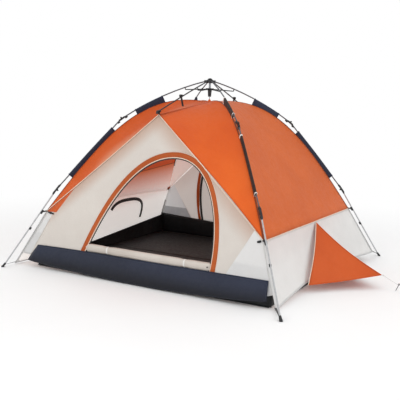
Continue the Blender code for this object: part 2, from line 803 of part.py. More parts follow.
def vent_guy(finish):
    """Guy line from the awning's tip to a peg's head and the peg down to the ground, one piece."""
    tip = Vector(VENT_TIP) + Vector((0.007, 0.0, -0.003))
    head = Vector(PEG_HEAD)
    point = Vector(PEG_POINT)
    sloped = Vector((0.55, 0.0, 1.0))
    level = Vector((1.0, 0.0, 0.0))
    cord_end = head - Vector((0.012, 0.0, -0.005))
    stations = (
        (tip, 0.0015, sloped),
        (cord_end, 0.0015, sloped),
        (head, 0.0040, sloped),
        (point, 0.0022, level),
    )
    rings = []
    for centre, radius, lift in stations:
        ring = []
        for index in range(8):
            swing = math.pi * index / 4
            across = Vector((0.0, radius * math.cos(swing), 0.0))
            ring.append(tuple(centre - tip + across + lift * (radius * math.sin(swing))))
        rings.append(ring)
    bm = bmesh.new()
    loft(bm, rings)
    place("vent_guy", finish_mesh("vent_guy", bm), finish, tuple(tip))


def zip_slider(finish):
    """Slider with a tapered pull that runs on the doorway's right edge."""
    z = DOOR_SILL_Z + 0.020
    depth = -wall_depth(z) - CLOTH / 2.0 - 0.0007
    rings = []
    for height, half, thick in SLIDER_STATIONS:
        lean = WALL_LEAN * height
        back, front = lean, lean - thick
        corners = ((-half, back), (half, back), (half, front), (-half, front))
        rings.append([(x, y, height) for x, y in corners])
    bm = bmesh.new()
    loft(bm, rings)
    place("zip_slider", finish_mesh("zip_slider", bm, smooth=False), finish, (DOOR_HALF + 0.026, depth, z))


def paints():
    return {
        "black": material("black_plastic", (0.018, 0.018, 0.020), 0.45),
        "steel": material("strut_steel", (0.42, 0.43, 0.45), 0.35, 1.0),
        "pole": material("pole_grey", (0.62, 0.62, 0.63), 0.40),
        "navy": material("navy_cloth", (0.024, 0.037, 0.060), 0.75),
        "orange": material("orange_cloth", (0.70, 0.16, 0.035), 0.70),
        "cream": material("cream_cloth", (0.72, 0.67, 0.60), 0.80),
        "white": material("white_cloth", (0.70, 0.70, 0.69), 0.80),
        "floor": material("floor_cloth", (0.012, 0.012, 0.013), 0.60),
        "cord": material("guy_cord", (0.60, 0.60, 0.58), 0.70),
        "zip": material("zip_metal", (0.03, 0.03, 0.035), 0.30, 0.6),
    }


def build():
    clear_scene()
    finish = paints()
    build_hub(finish)
    meshes = leg_meshes()
    for name, turn in LEGS.items():
        build_leg(name, turn, meshes, finish)
    arm = arm_mesh()
    strut = strut_mesh("arm_strut", ARM_STRUT_END_Z)
    for name, turn in ARMS.items():
        build_arm(name, turn, arm, strut, finish)
    side_gore("gore_right", 1.0, finish["orange"])
    side_gore("gore_left", -1.0, finish["orange"])
    end_gore("gore_front", -1.0, finish["orange"])
    end_gore("gore_rear", 1.0, finish["orange"])
    side_wall("wall_right", 1.0, finish["white"])
    side_wall("wall_left", -1.0, finish["white"])
    end_wall("wall_front", -1.0, finish["cream"], door=True)
    end_wall("wall_rear", 1.0, finish["cream"], door=False)
    floor_half("floor_front", -FLOOR_HALF_Y, FLOOR_SPLIT_Y - 0.001, FLOOR_SPLIT_Y, finish["floor"])
    floor_half("floor_rear", FLOOR_SPLIT_Y + 0.001, FLOOR_HALF_Y, FLOOR_SPLIT_Y, finish["floor"])
    door_roll(finish["cream"])
    vent_awning(finish["orange"])
    vent_guy(finish["cord"])
    zip_slider(finish["zip"])


build()
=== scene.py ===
import math

import bmesh
import bpy
from mathutils import Matrix, Vector, noise


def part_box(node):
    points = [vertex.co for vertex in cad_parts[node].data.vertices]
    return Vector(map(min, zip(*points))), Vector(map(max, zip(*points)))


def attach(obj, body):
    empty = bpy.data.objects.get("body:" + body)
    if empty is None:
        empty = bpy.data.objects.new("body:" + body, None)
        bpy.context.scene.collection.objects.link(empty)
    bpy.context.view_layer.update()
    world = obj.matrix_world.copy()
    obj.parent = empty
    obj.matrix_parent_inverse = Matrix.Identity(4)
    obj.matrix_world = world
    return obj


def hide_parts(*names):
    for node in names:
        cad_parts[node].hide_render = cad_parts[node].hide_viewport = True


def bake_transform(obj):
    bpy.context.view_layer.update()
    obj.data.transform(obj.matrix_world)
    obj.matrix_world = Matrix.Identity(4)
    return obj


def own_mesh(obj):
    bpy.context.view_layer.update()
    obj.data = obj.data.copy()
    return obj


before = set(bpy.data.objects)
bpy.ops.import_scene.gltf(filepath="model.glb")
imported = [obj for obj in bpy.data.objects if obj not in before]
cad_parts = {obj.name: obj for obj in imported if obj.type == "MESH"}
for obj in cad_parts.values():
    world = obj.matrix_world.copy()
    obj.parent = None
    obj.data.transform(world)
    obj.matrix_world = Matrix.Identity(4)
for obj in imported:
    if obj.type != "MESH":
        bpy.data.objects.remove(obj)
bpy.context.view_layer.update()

# Sizes and places are in metres, in the tent's own frame. Below, "as front" is said of a place that is
# given for the front, and that half a turn carries to the rear.
LEGS = {"fr": (1.0, -1.0), "fl": (-1.0, -1.0), "rr": (1.0, 1.0), "rl": (-1.0, 1.0)}
ENDS = {"front": -1.0, "rear": 1.0}
SIDES = {"right": 1.0, "left": -1.0}

# Frame: a leg's points are its distance from the hub axis and its height.
LEG_TURN = math.atan2(1.13, 1.18)
HUB_PIN = (0.040, 1.494)
ELBOW_ONE = (0.714, 1.177)
ELBOW_TWO = (1.221, 0.612)
FOOT = (math.hypot(1.18, 1.13), 0.0)
CORNER_CLIP = (1.3335, 0.4345)

# Middles of the elbows' plastic knuckles, and how far the plastic reaches round them.
KNUCKLE_ONE = (0.716, 1.180)
KNUCKLE_TWO = (1.219, 0.610)
KNUCKLE_REACH = 0.034

# Sleeves on the poles: start, end, depth at both, and the share of the depth that stays when folded.
SLEEVES = {"upper": ((0.389, 1.360), (0.605, 1.245), (0.050, 0.050), 1.0),
           "middle": ((0.789, 1.101), (1.122, 0.727), (0.036, 0.040), 0.35)}
SLEEVE_WRAP = 0.0085

# Canopy: the roof's apex and corners, the peak of the end walls, and the hem's corners. The roof's cloth
# starts at a share of the ridge, and the end walls lean in and are flat above a height.
APEX = (0.0, 0.0, 1.327)
CORNER = (0.938, 0.897, 0.440)
CORNER_R = math.hypot(CORNER[0], CORNER[1])
RIDGE_LINE = ((0.0, APEX[2]), (0.550, 1.420), (0.850, 1.048), (CORNER_R, CORNER[2]))
PEAK = (0.0, 0.746, 1.228)
ROOF_START = 0.030
WALL_Y = 0.930
WALL_LEAN = 0.150
WALL_FLAT_ABOVE = 0.90
HEM = {"fr": (1.072, -0.952, 0.005), "fl": (-1.180, -1.000, 0.005),
       "rr": (1.168, 0.955, 0.062), "rl": (-1.100, 0.955, 0.010)}

# End walls, as front, in x and z: the joins of the coloured corners, the doorway, the band, the rolled door.
WHITE_RIGHT = ((0.831, 0.446), (0.671, 0.177))
WHITE_LEFT = ((-0.903, 0.377), (-1.015, 0.158))
ORANGE_LEFT = ((-0.843, 0.444), (-0.669, 0.671))
DOOR_LEFT = ((-0.566, 0.165), (-0.440, 0.470), (-0.200, 0.950), (0.190, 0.950))
DOOR_RIGHT = ((0.190, 0.950), (0.500, 0.950), (0.620, 0.550), (0.566, 0.165))
DOOR_STEPS = 30
DOOR_MIDDLE = (0.02, 0.50)
PANEL_MIDDLE = (0.08, 0.45)
WALL_FOOT = ((-1.000, 0.080), (0.985, 0.080))
BAND_TOP = 0.168
BAND_TAPER = 0.22
ROLL_ENDS = (-0.546, 0.548)
ROLL_TIES = (-0.339, 0.336)
ROLL_Y = -0.885
ROLL_Z = 0.200
ROLL_HALF = (0.021, 0.032)
SILL_STUD = (0.530, -0.915, 0.204)

# Window in the left wall: middle and half size of its arch in y and z, and the turn at which its zip stops.
WINDOW_MIDDLE = (0.245, 0.180)
WINDOW_HALF = (0.258, 0.216)
WINDOW_STOP = 0.39

# Floor inside the tent, and its turned-up edges at the ends and at the sides.
FLOOR_HALF_X = 1.006
FLOOR_Y = 0.925
END_TUB_X = 1.018
SIDE_TUB_X = 1.004
SIDE_TUB_Y = 0.924

# Vent awning and guy line.
VENT_TOP = (0.968, 0.0, 0.440)
VENT_FOOT = (1.088, 0.425, 0.056)
VENT_TIP_Z = 0.105
VENT_LOW = 0.012
PEG_HEAD_Z = 0.050

# Hub's cap and cloth tuft, as radius and height above the crown or the apex, and the tuft's cord.
CAP_PROFILE = ((0.0200, -0.0010), (0.0185, 0.0020), (0.0125, 0.0060), (0.0060, 0.0082), (0.0010, 0.0088))
TUFT_PROFILE = ((0.054, -0.0010), (0.046, 0.0022), (0.034, 0.0055), (0.018, 0.0095), (0.008, 0.0170),
                (0.005, 0.0240))
CORD_LOW = APEX[2] + 0.018
CORD_TOP = 1.378

# Loops on the short arms, as (y, z) on the arm and on the roof.
ARM_NEAR = ((0.447, 1.369), (0.416, 1.290))
ARM_OUTER = ((0.590, 1.314), (0.570, 1.258))
ARM_TIP = ((0.757, 1.248), (0.742, 1.230))

# Gathering of the cloth for a fold of the frame, not applied here: direction, a point that stays, and the
# share that is left.
END_GATHER = ((1, 0, 0), (0, 0, 0), 0.07)
ROOF_GATHER = ((0, 1, 0), (0, 0, 0), 0.07)
SIDE_GATHER = ((0, 1, 0), (0, 0.14, 0), 0.07)
FLOOR_GATHER = ((1, 0, 0), (0, 0, 0), 0.012)
TUB_GATHER = ((1, 0, 0), (0, 0, 0), 0.06)
TUFT_GATHER = ((0, 1, 0), APEX, 0.15)
VENT_ACROSS = (0.2117, 0.9773, 0.0)

# Inside of the side walls and side roof: the direction that their colour fades along, and its two ends.
INSIDE_SLOPE = (0.0, -0.09, 1.0)
INSIDE_PALE = "E9E6E3"
INSIDE_WARM = "B65B33"

# Lamps, as place, power and size, and what they are aimed at.
LAMPS = {"key": ((-2.5, -6.0, 5.5), 50.0, 4.0), "fill": ((6.5, -1.0, 3.0), 68.0, 4.0),
         "door": ((0.9, -5.0, 0.9), 15.0, 1.5)}
LAMP_AIM = (0.0, 0.0, 0.5)
SKY_STRENGTH = 0.90
WHITE_LIGHT = (1.0, 1.0, 1.0, 1.0)

# Camera: place, its yaw, pitch and roll in degrees, lens and sensor in millimetres, and shift.
CAMERA_PLACE = (2.725, -4.925, 1.328)
CAMERA_TURN = (28.96, 8.45, 1.80)
CAMERA_LENS = 61.34
CAMERA_SENSOR = 36.0
CAMERA_SHIFT = (-0.0153, 0.0084)


# Points and curves.


def mix(a, b, share):
    return tuple(p + (q - p) * share for p, q in zip(a, b))


def bezier(points, share):
    rest = 1.0 - share
    weights = (rest ** 3, 3 * rest * rest * share, 3 * rest * share * share, share ** 3)
    return tuple(sum(w * p[i] for w, p in zip(weights, points)) for i in range(len(points[0])))


def trail(steps, place):
    """Points of a curve, from a function of the share along it, 0 to 1."""
    return [place(i / steps) for i in range(steps + 1)]


def grid(rows, columns, place):
    """Rows of points of a surface, from a function of the shares across and down it, 0 to 1."""
    return [[place(c / columns, r / rows) for c in range(columns + 1)] for r in range(rows + 1)]


def line(start, end, steps):
    return trail(steps, lambda share: Vector(start).lerp(Vector(end), share))


def turns(count, closed=False):
    """Angles of a full turn; closed adds the last one, which is back at the start."""
    return [2 * math.pi * k / count for k in range(count + 1 if closed else count)]


def hump(share, low):
    """A scale that rises from low at both ends to 1 in the middle."""
    return low + (1 - low) * math.sin(math.pi * share)


def wobble(point, scale, seed):
    """Smooth bumps between about -1 and 1, the same on every run."""
    return noise.noise(Vector(point) * scale + Vector((seed, seed * 1.7, seed * 0.6)))


def length(points):
    return sum((Vector(b) - Vector(a)).length for a, b in zip(points, points[1:]))


def leg_spot(leg, out, up, across=0.0):
    """Point in a leg's plane, given its distance from the hub axis and its height."""
    x_sign, y_sign = LEGS[leg]
    x, y = math.cos(LEG_TURN), math.sin(LEG_TURN)
    return Vector((x_sign * (out * x - across * y), y_sign * (out * y + across * x), up))


# Meshes.


def new_object(name, verts, faces):
    mesh = bpy.data.meshes.new(name)
    mesh.from_pydata([tuple(v) for v in verts], [], faces)
    mesh.validate()
    for face in mesh.polygons:
        face.use_smooth = True
    made = bpy.data.objects.new(name, mesh)
    bpy.context.scene.collection.objects.link(made)
    return made


def store(made, name, values, kind="FLOAT"):
    layer = made.data.attributes.new(name, kind, "POINT")
    key = "value" if kind == "FLOAT" else "vector"
    for item, value in zip(layer.data, values):
        setattr(item, key, value)


def even_normals(mesh):
    bm = bmesh.new()
    bm.from_mesh(mesh)
    bmesh.ops.recalc_face_normals(bm, faces=bm.faces)
    bm.to_mesh(mesh)
    bm.free()


def quads(rows, count, closed=False):
    """Faces between neighbouring rows of points; closed joins each row's last point to its first."""
    faces = []
    for r in range(rows - 1):
        for c in range(count if closed else count - 1):
            after = (c + 1) % count
            faces.append((r * count + c, r * count + after, (r + 1) * count + after, (r + 1) * count + c))
    return faces


def loft(rings):
    """Points and faces of a closed body whose sections are the rings."""
    count = len(rings[0])
    faces = quads(len(rings), count, True)
    faces.append(tuple(reversed(range(count))))
    faces.append(tuple((len(rings) - 1) * count + k for k in range(count)))
    return [v for ring in rings for v in ring], faces


def sheet(name, rows, thick=0.0018, closed=False, hole=True):
    """Thin cloth from rows of points, with cloth coordinates in metres and the distance to its nearest edge.

    closed is for rows that are rings, and hole says that the first ring is an edge."""
    count, last = len(rows[0]), len(rows) - 1
    verts = [Vector(p) for row in rows for p in row]
    made = new_object(name, verts, quads(len(rows), count, closed))
    width = length(rows[len(rows) // 2])
    tall = length([row[count // 2] for row in rows])
    coords = []
    edges = []
    for r, row in enumerate(rows):
        v = r / last
        row_width = length(row)
        ends = min(v * tall, (1 - v) * tall) if hole else (1 - v) * tall
        for c in range(count):
            u = c / (count - 1)
            coords.append((u * width, v * tall, 0.0))
            edges.append(ends if closed else min(ends, min(u, 1 - u) * row_width))
    store(made, "weave", coords, "FLOAT_VECTOR")
    store(made, "edge", edges)
    store(made, "rest", verts, "FLOAT_VECTOR")
    thicken(made, thick)
    middle = Vector((0.0, 0.0, 0.5))
    store(made, "inner", [float(v.normal.dot(v.co - middle) < 0) for v in made.data.vertices])
    return made


def thicken(made, thick):
    """Gives a surface its two skins, so that the mesh is final."""
    body = made.modifiers.new("cloth", "SOLIDIFY")
    body.thickness = thick
    body.offset = 0.0
    bpy.context.view_layer.update()
    graph = bpy.context.evaluated_depsgraph_get()
    final = bpy.data.meshes.new_from_object(made.evaluated_get(graph))
    made.modifiers.clear()
    made.data = final
    even_normals(final)


def frames(path, hint):
    """(point, across, normal) along a path; hint is the direction the section's second axis leans to."""
    found = []
    for i, point in enumerate(path):
        ahead = Vector(path[min(i + 1, len(path) - 1)]) - Vector(path[max(i - 1, 0)])
        ahead.normalize()
        lean = Vector(hint(i) if callable(hint) else hint)
        normal = (lean - ahead * lean.dot(ahead)).normalized()
        found.append((Vector(point), ahead.cross(normal).normalized(), normal))
    return found


def run(name, path, section, hint=(0, 0, 1), scale=None):
    """Closed body from a section, as (across, normal) offsets, carried along a path."""
    rings = []
    coords = []
    for i, (point, across, normal) in enumerate(frames(path, hint)):
        size = scale(i / (len(path) - 1)) if scale else 1.0
        along = length(path[:i + 1])
        rings.append([point + across * (u * size) + normal * (v * size) for u, v in section])
        coords += [(along, k / len(section) * 0.05, 0.0) for k in range(len(section))]
    made = new_object(name, *loft(rings))
    store(made, "weave", coords, "FLOAT_VECTOR")
    store(made, "edge", [0.02] * len(coords))
    even_normals(made.data)
    return made


def hoop(name, loop, centre, section):
    """Band round a loop of points, with its flat side turned to the centre."""
    return run(name, loop, section, lambda i: loop[i] - centre)


def disc(radius, sides=10):
    return [(radius * math.cos(a), radius * math.sin(a)) for a in turns(sides)]


def strap(half, thick):
    """Flat webbing section with rounded edges."""
    return [(half, thick * 0.5), (half * 0.96, thick), (-half * 0.96, thick), (-half, thick * 0.5),
            (-half, -thick * 0.5), (-half * 0.96, -thick), (half * 0.96, -thick), (half, -thick * 0.5)]


def join(name, parts):
    """One object from several closed bodies that share a body and a finish."""
    bm = bmesh.new()
    for part in parts:
        bm.from_mesh(part.data)
    mesh = bpy.data.meshes.new(name)
    bm.to_mesh(mesh)
    bm.free()
    for part in parts:
        bpy.data.objects.remove(part, do_unlink=True)
    made = bpy.data.objects.new(name, mesh)
    bpy.context.scene.collection.objects.link(made)
    return made


def fit(made, body, finish, gather=None, stands_for=(), bend=None, slot=None):
    """Gives a piece its finish and body, or with bend bakes in its place; hides the parts it stands for."""
    if "rest" not in made.data.attributes:
        store(made, "rest", [v.co for v in made.data.vertices], "FLOAT_VECTOR")
    made.data.materials.clear()
    made.data.materials.append(finish)
    if bend:
        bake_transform(made)
    else:
        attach(made, body)
    slot or SLOT_OF[finish.name]
    if stands_for:
        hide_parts(*stands_for)
    if gather:
        axis, anchor, keep = gather
        tuple(axis)
        tuple(anchor)
        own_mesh(made)


# Materials.


def rgb(code):
    values = []
    for i in (0, 2, 4):
        part = int(code[i:i + 2], 16) / 255
        values.append(part / 12.92 if part <= 0.04045 else ((part + 0.055) / 1.055) ** 2.4)
    return (*values, 1.0)


class Finish:
    """A small helper that wires up one node material."""

    def __init__(self, name, roughness=0.6, metallic=0.0):
        self.made = bpy.data.materials.new(name)
        self.made.use_nodes = True
        self.tree = self.made.node_tree
        self.shader = self.tree.nodes["Principled BSDF"]
        self.out = self.tree.nodes["Material Output"]
        self.shader.inputs["Roughness"].default_value = roughness
        self.shader.inputs["Metallic"].default_value = metallic

    def put(self, node, key, value):
        if isinstance(value, bpy.types.NodeSocket):
            self.tree.links.new(value, node.inputs[key])
        else:
            node.inputs[key].default_value = value

    def set(self, key, value):
        self.put(self.shader, key, value)

    def add(self, kind, ins=None, **settings):
        node = self.tree.nodes.new(kind)
        for key, value in settings.items():
            setattr(node, key, value)
        for key, value in (ins or {}).items():
            self.put(node, key, value)
        return node

    def attribute(self, name, output="Vector"):
        return self.add("ShaderNodeAttribute", attribute_name=name).outputs[output]

    def spot(self):
        return self.add("ShaderNodeTexCoord").outputs["Object"]

    def inner(self, most=1.0):
        """A value that is 0 on a sheet's outer skin and most on its inner one."""
        return self.ramp(self.attribute("inner", "Fac"), 0.45, 0.55, 0.0, most)

    def maths(self, operation, a, b):
        return self.add("ShaderNodeMath", {0: a, 1: b}, operation=operation).outputs[0]

    def times(self, a, b):
        return self.maths("MULTIPLY", a, b)

    def flipped(self, value):
        return self.maths("SUBTRACT", 1.0, value)

    def noise(self, vector, scale, detail=3.0, rough=0.55):
        ins = {"Vector": vector, "Scale": scale, "Detail": detail, "Roughness": rough}
        return self.add("ShaderNodeTexNoise", ins).outputs["Fac"]

    def wave(self, vector, scale, direction, distortion=0.0):
        ins = {"Vector": vector, "Scale": scale, "Distortion": distortion}
        return self.add("ShaderNodeTexWave", ins, bands_direction=direction).outputs["Fac"]

    def ramp(self, value, low, high, a=0.0, b=1.0, smooth=True):
        ins = {"Value": value, "From Min": low, "From Max": high, "To Min": a, "To Max": b}
        kind = "SMOOTHSTEP" if smooth else "LINEAR"
        return self.add("ShaderNodeMapRange", ins, interpolation_type=kind, clamp=True).outputs["Result"]

    def between(self, value, low, high, soft):
        """1 from low to high, and 0 beyond a soft edge."""
        return self.times(self.ramp(value, low - soft, low), self.ramp(value, high, high + soft, 1.0, 0.0))

    def blend(self, share, a, b):
        return self.add("ShaderNodeMix", {0: share, 6: a, 7: b}, data_type="RGBA").outputs[2]

    def mapped(self, vector, scale):
        return self.add("ShaderNodeMapping", {"Vector": vector, "Scale": scale}).outputs["Vector"]

    def vector(self, operation, output, *ins):
        node = self.add("ShaderNodeVectorMath", dict(enumerate(ins)), operation=operation)
        return node.outputs[output]

    def dot(self, vector, direction):
        return self.vector("DOT_PRODUCT", "Value", vector, direction)

    def height(self, rest):
        return self.dot(rest, (0.0, 0.0, 1.0))

    def bump(self, height, strength, distance, below=None):
        ins = {"Height": height, "Strength": strength, "Distance": distance}
        if below is not None:
            ins["Normal"] = below
        return self.add("ShaderNodeBump", ins).outputs["Normal"]

    def mixed(self, share, other):
        """The material, with another shader mixed over its own."""
        both = self.add("ShaderNodeMixShader", {0: share, 1: self.shader.outputs[0], 2: other.outputs[0]})
        self.tree.links.new(both.outputs[0], self.out.inputs["Surface"])
        return self.made


def beyond(finish, rest, start, end, soft=0.003):
    """1 on the right of a line between two (x, z) points, looked at from -Y, and 0 on its left."""
    run_x, run_z = end[0] - start[0], end[1] - start[1]
    size = math.copysign(math.hypot(run_x, run_z), -run_z)
    normal = (-run_z / size, 0.0, run_x / size)
    level = normal[0] * start[0] + normal[2] * start[1]
    return finish.ramp(finish.dot(rest, normal), level - soft, level + soft)


def half_turned(finish, rest):
    """The rest position with the rear half of the tent turned onto the front half."""
    x, y, z = finish.add("ShaderNodeSeparateXYZ", {0: rest}).outputs
    rear = finish.ramp(y, -0.1, 0.1, smooth=False)
    ins = {0: finish.times(x, finish.flipped(finish.times(rear, 2.0))), 1: 0.0, 2: z}
    return finish.add("ShaderNodeCombineXYZ", ins).outputs[0]


def roof_paint(finish, rest, colour):
    """End roof: painted shade that darkens it towards the apex and dulls one half, and a pale painted
    highlight along its seam.
    """
    # Painted shade: the cloth is darker towards the apex.
    apex_shade = finish.ramp(finish.height(rest), 0.45, 1.32, smooth=False)
    colour = finish.blend(finish.times(apex_shade, 0.45), colour, rgb("CC5019"))
    facing = half_turned(finish, rest)
    x = finish.dot(facing, (1.0, 0.0, 0.0))
    # Painted shade: the left half, as front, is duller than the right one.
    left = finish.ramp(x, -0.02, 0.03, 1.0, 0.0)
    colour = finish.blend(finish.times(left, 0.45), colour, rgb("C65524"))
    # Painted highlight: a pale band on the left half that fades upwards from the wall's top seam.
    over = finish.ramp(finish.dot(facing, (-0.6433, 0.0, 0.7657)), 0.938, 1.065, 1.0, 0.0, smooth=False)
    span = finish.times(finish.ramp(x, -0.62, -0.45), finish.ramp(x, -0.10, -0.01, 1.0, 0.0))
    seam_highlight = finish.times(over, span)
    colour = finish.blend(finish.times(seam_highlight, 0.85), colour, rgb("E8A884"))
    return finish.blend(finish.inner(), colour, rgb("EFEAE4"))


def warm_fade(finish, level):
    """Inside colour that goes from pale low down to warm higher up."""
    return finish.blend(finish.ramp(level, 0.30, 0.66, smooth=False), rgb(INSIDE_PALE), rgb(INSIDE_WARM))


def side_roof_paint(finish, rest, colour):
    """Side roof: plain outside; inside, the warm fade below a dark seam and a coated upper part."""
    level = finish.dot(rest, INSIDE_SLOPE)
    inside = finish.blend(finish.ramp(level, 0.665, 0.669), warm_fade(finish, level), rgb("AE4219"))
    seam = finish.between(level, 0.664, 0.669, 0.004)
    inside = finish.blend(finish.times(seam, 0.7), inside, rgb("4A2416"))
    return finish.blend(finish.inner(), colour, inside)


def side_paint(finish, rest, colour):
    """Side wall: plain outside; inside it takes up the warm fade of the roof above it."""
    return finish.blend(finish.inner(), colour, warm_fade(finish, finish.dot(rest, INSIDE_SLOPE)))


def wall_paint(finish, rest, colour):
    """End wall: painted warm shade by its top seams, white lower corners and a small roof-coloured corner.

    Inside it is grey, and its white corners are darker low down."""
    facing = half_turned(finish, rest)
    height = finish.height(rest)
    # Painted shade: a warm pinkish tint below each top seam, strongest at the seam.
    for slope, low, high, share in ((0.6431, 0.78, 0.95, 0.75), (-0.6431, 0.82, 0.94, 0.85)):
        seam_warm_shade = finish.ramp(finish.dot(facing, (slope, 0.0, 0.7657)), low, high, 0.0, share)
        colour = finish.blend(seam_warm_shade, colour, rgb("D0B29F"))
    right = beyond(finish, facing, *WHITE_RIGHT)
    left = finish.flipped(beyond(finish, facing, *WHITE_LEFT))
    white = finish.maths("MAXIMUM", right, left)
    colour = finish.blend(white, colour, rgb("F1F1F0"))
    patch = finish.flipped(beyond(finish, facing, *ORANGE_LEFT))
    patch = finish.times(patch, finish.ramp(height, 0.436, 0.440))
    colour = finish.blend(patch, colour, rgb("DC6424"))
    low_down = finish.ramp(height, 0.262, 0.270, 1.0, 0.0)
    corner = finish.blend(low_down, rgb("C9CACB"), rgb("84868A"))
    inside = finish.blend(white, rgb("DBDAD8"), corner)
    return finish.blend(finish.times(finish.inner(), 0.85), colour, inside)


def band_painted_shade(finish, rest, colour):
    """Groundsheet side: painted shade, darker under the belly and lighter where it turns up."""
    return finish.blend(finish.ramp(finish.height(rest), 0.03, 0.165, 0.95, 0.0), colour, rgb("14151D"))


def cloth(name, base, deep, stitch, roughness=0.62, glow=0.20, crease=0.5, lit=0.0, sheen=0.06, paint=None):
    """Woven polyester: threads, soft creases, seam stitching, uneven colour and light coming through.

    glow is the translucent share, lit the strength of the painted glow that the inner skin gives off, and
    paint a function that adds the panel's own colours and any painted shade and highlights."""
    base, deep = rgb(base), rgb(deep)
    finish = Finish(name, roughness)
    weave = finish.attribute("weave")
    rest = finish.attribute("rest")
    edge = finish.attribute("edge", "Fac")
    patches = finish.noise(rest, 2.6, 4.0, 0.6)
    fine = finish.noise(rest, 38.0, 3.0, 0.6)
    colour = finish.blend(finish.ramp(patches, 0.30, 0.72), deep, base)
    if paint:
        colour = paint(finish, rest, colour)
    colour = finish.blend(finish.ramp(fine, 0.35, 0.70, 0.0, 0.07), colour, deep)
    pitch = 2 * math.pi / (20 * 0.0016)
    threads = finish.maths("MAXIMUM", finish.wave(weave, pitch, "X"), finish.wave(weave, pitch, "Y"))
    # Painted shade: the gaps between the threads are a little darker.
    colour = finish.blend(finish.ramp(threads, 0.2, 1.0, 0.05, 0.0), colour, (0.0, 0.0, 0.0, 1.0))
    dashes = finish.add("ShaderNodeTexChecker", {"Vector": weave, "Scale": 170.0}).outputs["Fac"]
    stitches = finish.times(finish.between(edge, 0.0085, 0.0105, 0.001), dashes)
    colour = finish.blend(finish.times(stitches, 0.45), colour, rgb(stitch))
    fold = finish.ramp(edge, 0.013, 0.017, 1.0, 0.0)
    wide = finish.noise(finish.mapped(rest, (1.0, 1.0, 0.45)), 7.0, 4.0, 0.55)
    normal = finish.bump(threads, 0.25, 0.0006)
    normal = finish.bump(fold, 0.35, 0.0015, normal)
    normal = finish.bump(stitches, 0.4, 0.0012, normal)
    normal = finish.bump(wide, crease, 0.016, normal)
    finish.set("Base Color", colour)
    finish.set("Normal", normal)
    finish.set("Roughness", finish.ramp(fine, 0.3, 0.8, roughness - 0.07, roughness + 0.08))
    finish.set("Sheen Weight", sheen)
    finish.set("Sheen Roughness", 0.4)
    finish.set("Specular IOR Level", 0.30)
    # Painted light: the inner skin glows with its own colour, so the inside of the tent looks lit.
    if lit:
        finish.set("Emission Color", colour)
        finish.set("Emission Strength", finish.inner(lit))
    return finish.mixed(glow, finish.add("ShaderNodeBsdfTranslucent", {"Color": colour, "Normal": normal}))


def sleeve_cloth(name, base, deep, stitch):
    return cloth(name, base, deep, stitch, roughness=0.6, glow=0.02, crease=0.25)


def grain(name, base, roughness, metallic, second, scale=900.0, depth=0.0002, streak=(1, 1, 1)):
    """Moulded plastic or metal with a fine grain, worn patches and dust."""
    finish = Finish(name, roughness, metallic)
    spot = finish.spot()
    fine = finish.noise(finish.mapped(spot, streak), scale, 2.0, 0.6)
    worn = finish.noise(spot, 45.0, 4.0, 0.65)
    finish.set("Base Color", finish.blend(finish.ramp(worn, 0.45, 0.75, 0.0, 0.5), rgb(base), rgb(second)))
    finish.set("Roughness", finish.ramp(worn, 0.3, 0.75, roughness - 0.08, min(roughness + 0.14, 1.0)))
    finish.set("Normal", finish.bump(fine, 0.35, depth))
    return finish


def pole_finish(name, knuckles, base, second, metallic):
    """Coated tube that turns to black moulded plastic at its knuckles."""
    finish = grain(name, base, 0.36, metallic, second, 600.0, 0.0001, (1, 1, 0.1))
    absolute = finish.vector("ABSOLUTE", "Vector", finish.spot())
    masks = []
    for knuckle in knuckles:
        gap = finish.vector("DISTANCE", "Value", absolute, leg_spot("rr", *knuckle))
        masks.append(finish.ramp(gap, KNUCKLE_REACH, KNUCKLE_REACH + 0.001, 1.0, 0.0))
    mask = finish.maths("MAXIMUM", *masks) if len(masks) > 1 else masks[0]
    colour = finish.shader.inputs["Base Color"].links[0].from_socket
    finish.set("Base Color", finish.blend(mask, colour, rgb("17171A")))
    finish.set("Metallic", finish.times(finish.flipped(mask), metallic))
    return finish.made


def webbing(name, base, second):
    """Ribbed webbing or braided cord."""
    finish = Finish(name, 0.75)
    ribs = finish.wave(finish.attribute("weave"), 2 * math.pi / (20 * 0.0022), "DIAGONAL", 0.6)
    finish.set("Base Color", finish.blend(finish.ramp(ribs, 0.1, 0.9), rgb(second), rgb(base)))
    finish.set("Normal", finish.bump(ribs, 0.6, 0.0008))
    finish.set("Sheen Weight", 0.2)
    return finish.made


ORANGE = cloth("roof_cloth", "EF7227", "E5651F", "B8501E", paint=roof_paint, lit=0.48)
SIDE_ORANGE = cloth("side_roof_cloth", "D96A2A", "D06225", "B8562A", paint=side_roof_paint,
                    glow=0.12, lit=0.68)
VENT = cloth("vent_cloth", "DE642A", "D65B22", "B8501E", crease=0.3)
BINDING = cloth("binding_cloth", "CC662E", "BA5824", "E9B894", crease=0.25)
RIDGE = cloth("ridge_tape", "8A4222", "74341A", "4E2410", glow=0.0, crease=0.2)
CREAM = cloth("wall_cloth", "EAE5DE", "E4DED7", "C9C1B7", paint=wall_paint, glow=0.32, lit=0.40)
WHITE = cloth("side_cloth", "EBEBEA", "E3E3E2", "C4C4C3", paint=side_paint, glow=0.32, lit=0.70)
SILL = cloth("sill_cloth", "DDD5CC", "CFC6BC", "B5ABA0", glow=0.10, crease=0.6)
NAVY = cloth("navy_cloth", "2B3144", "242A3B", "4E556B", paint=band_painted_shade, glow=0.02, crease=0.4)
BLACK = cloth("floor_cloth", "24282B", "1A1D1F", "1A1D1F", roughness=0.55, glow=0.0, sheen=0.02)
SLEEVE = sleeve_cloth("sleeve_cloth", "272F45", "1E2537", "48516C")
DARK = sleeve_cloth("sleeve_dark", "30241F", "241B18", "5C4A40")
PIPING = webbing("piping_cream", "F6E2D0", "E8CBB2")
STRAP = webbing("webbing_black", "1B1B1E", "0C0C0E")
CORD = webbing("cord_light", "D9D7D2", "9C9A96")
TIE = webbing("tie_white", "F4F2EE", "D9D5CF")
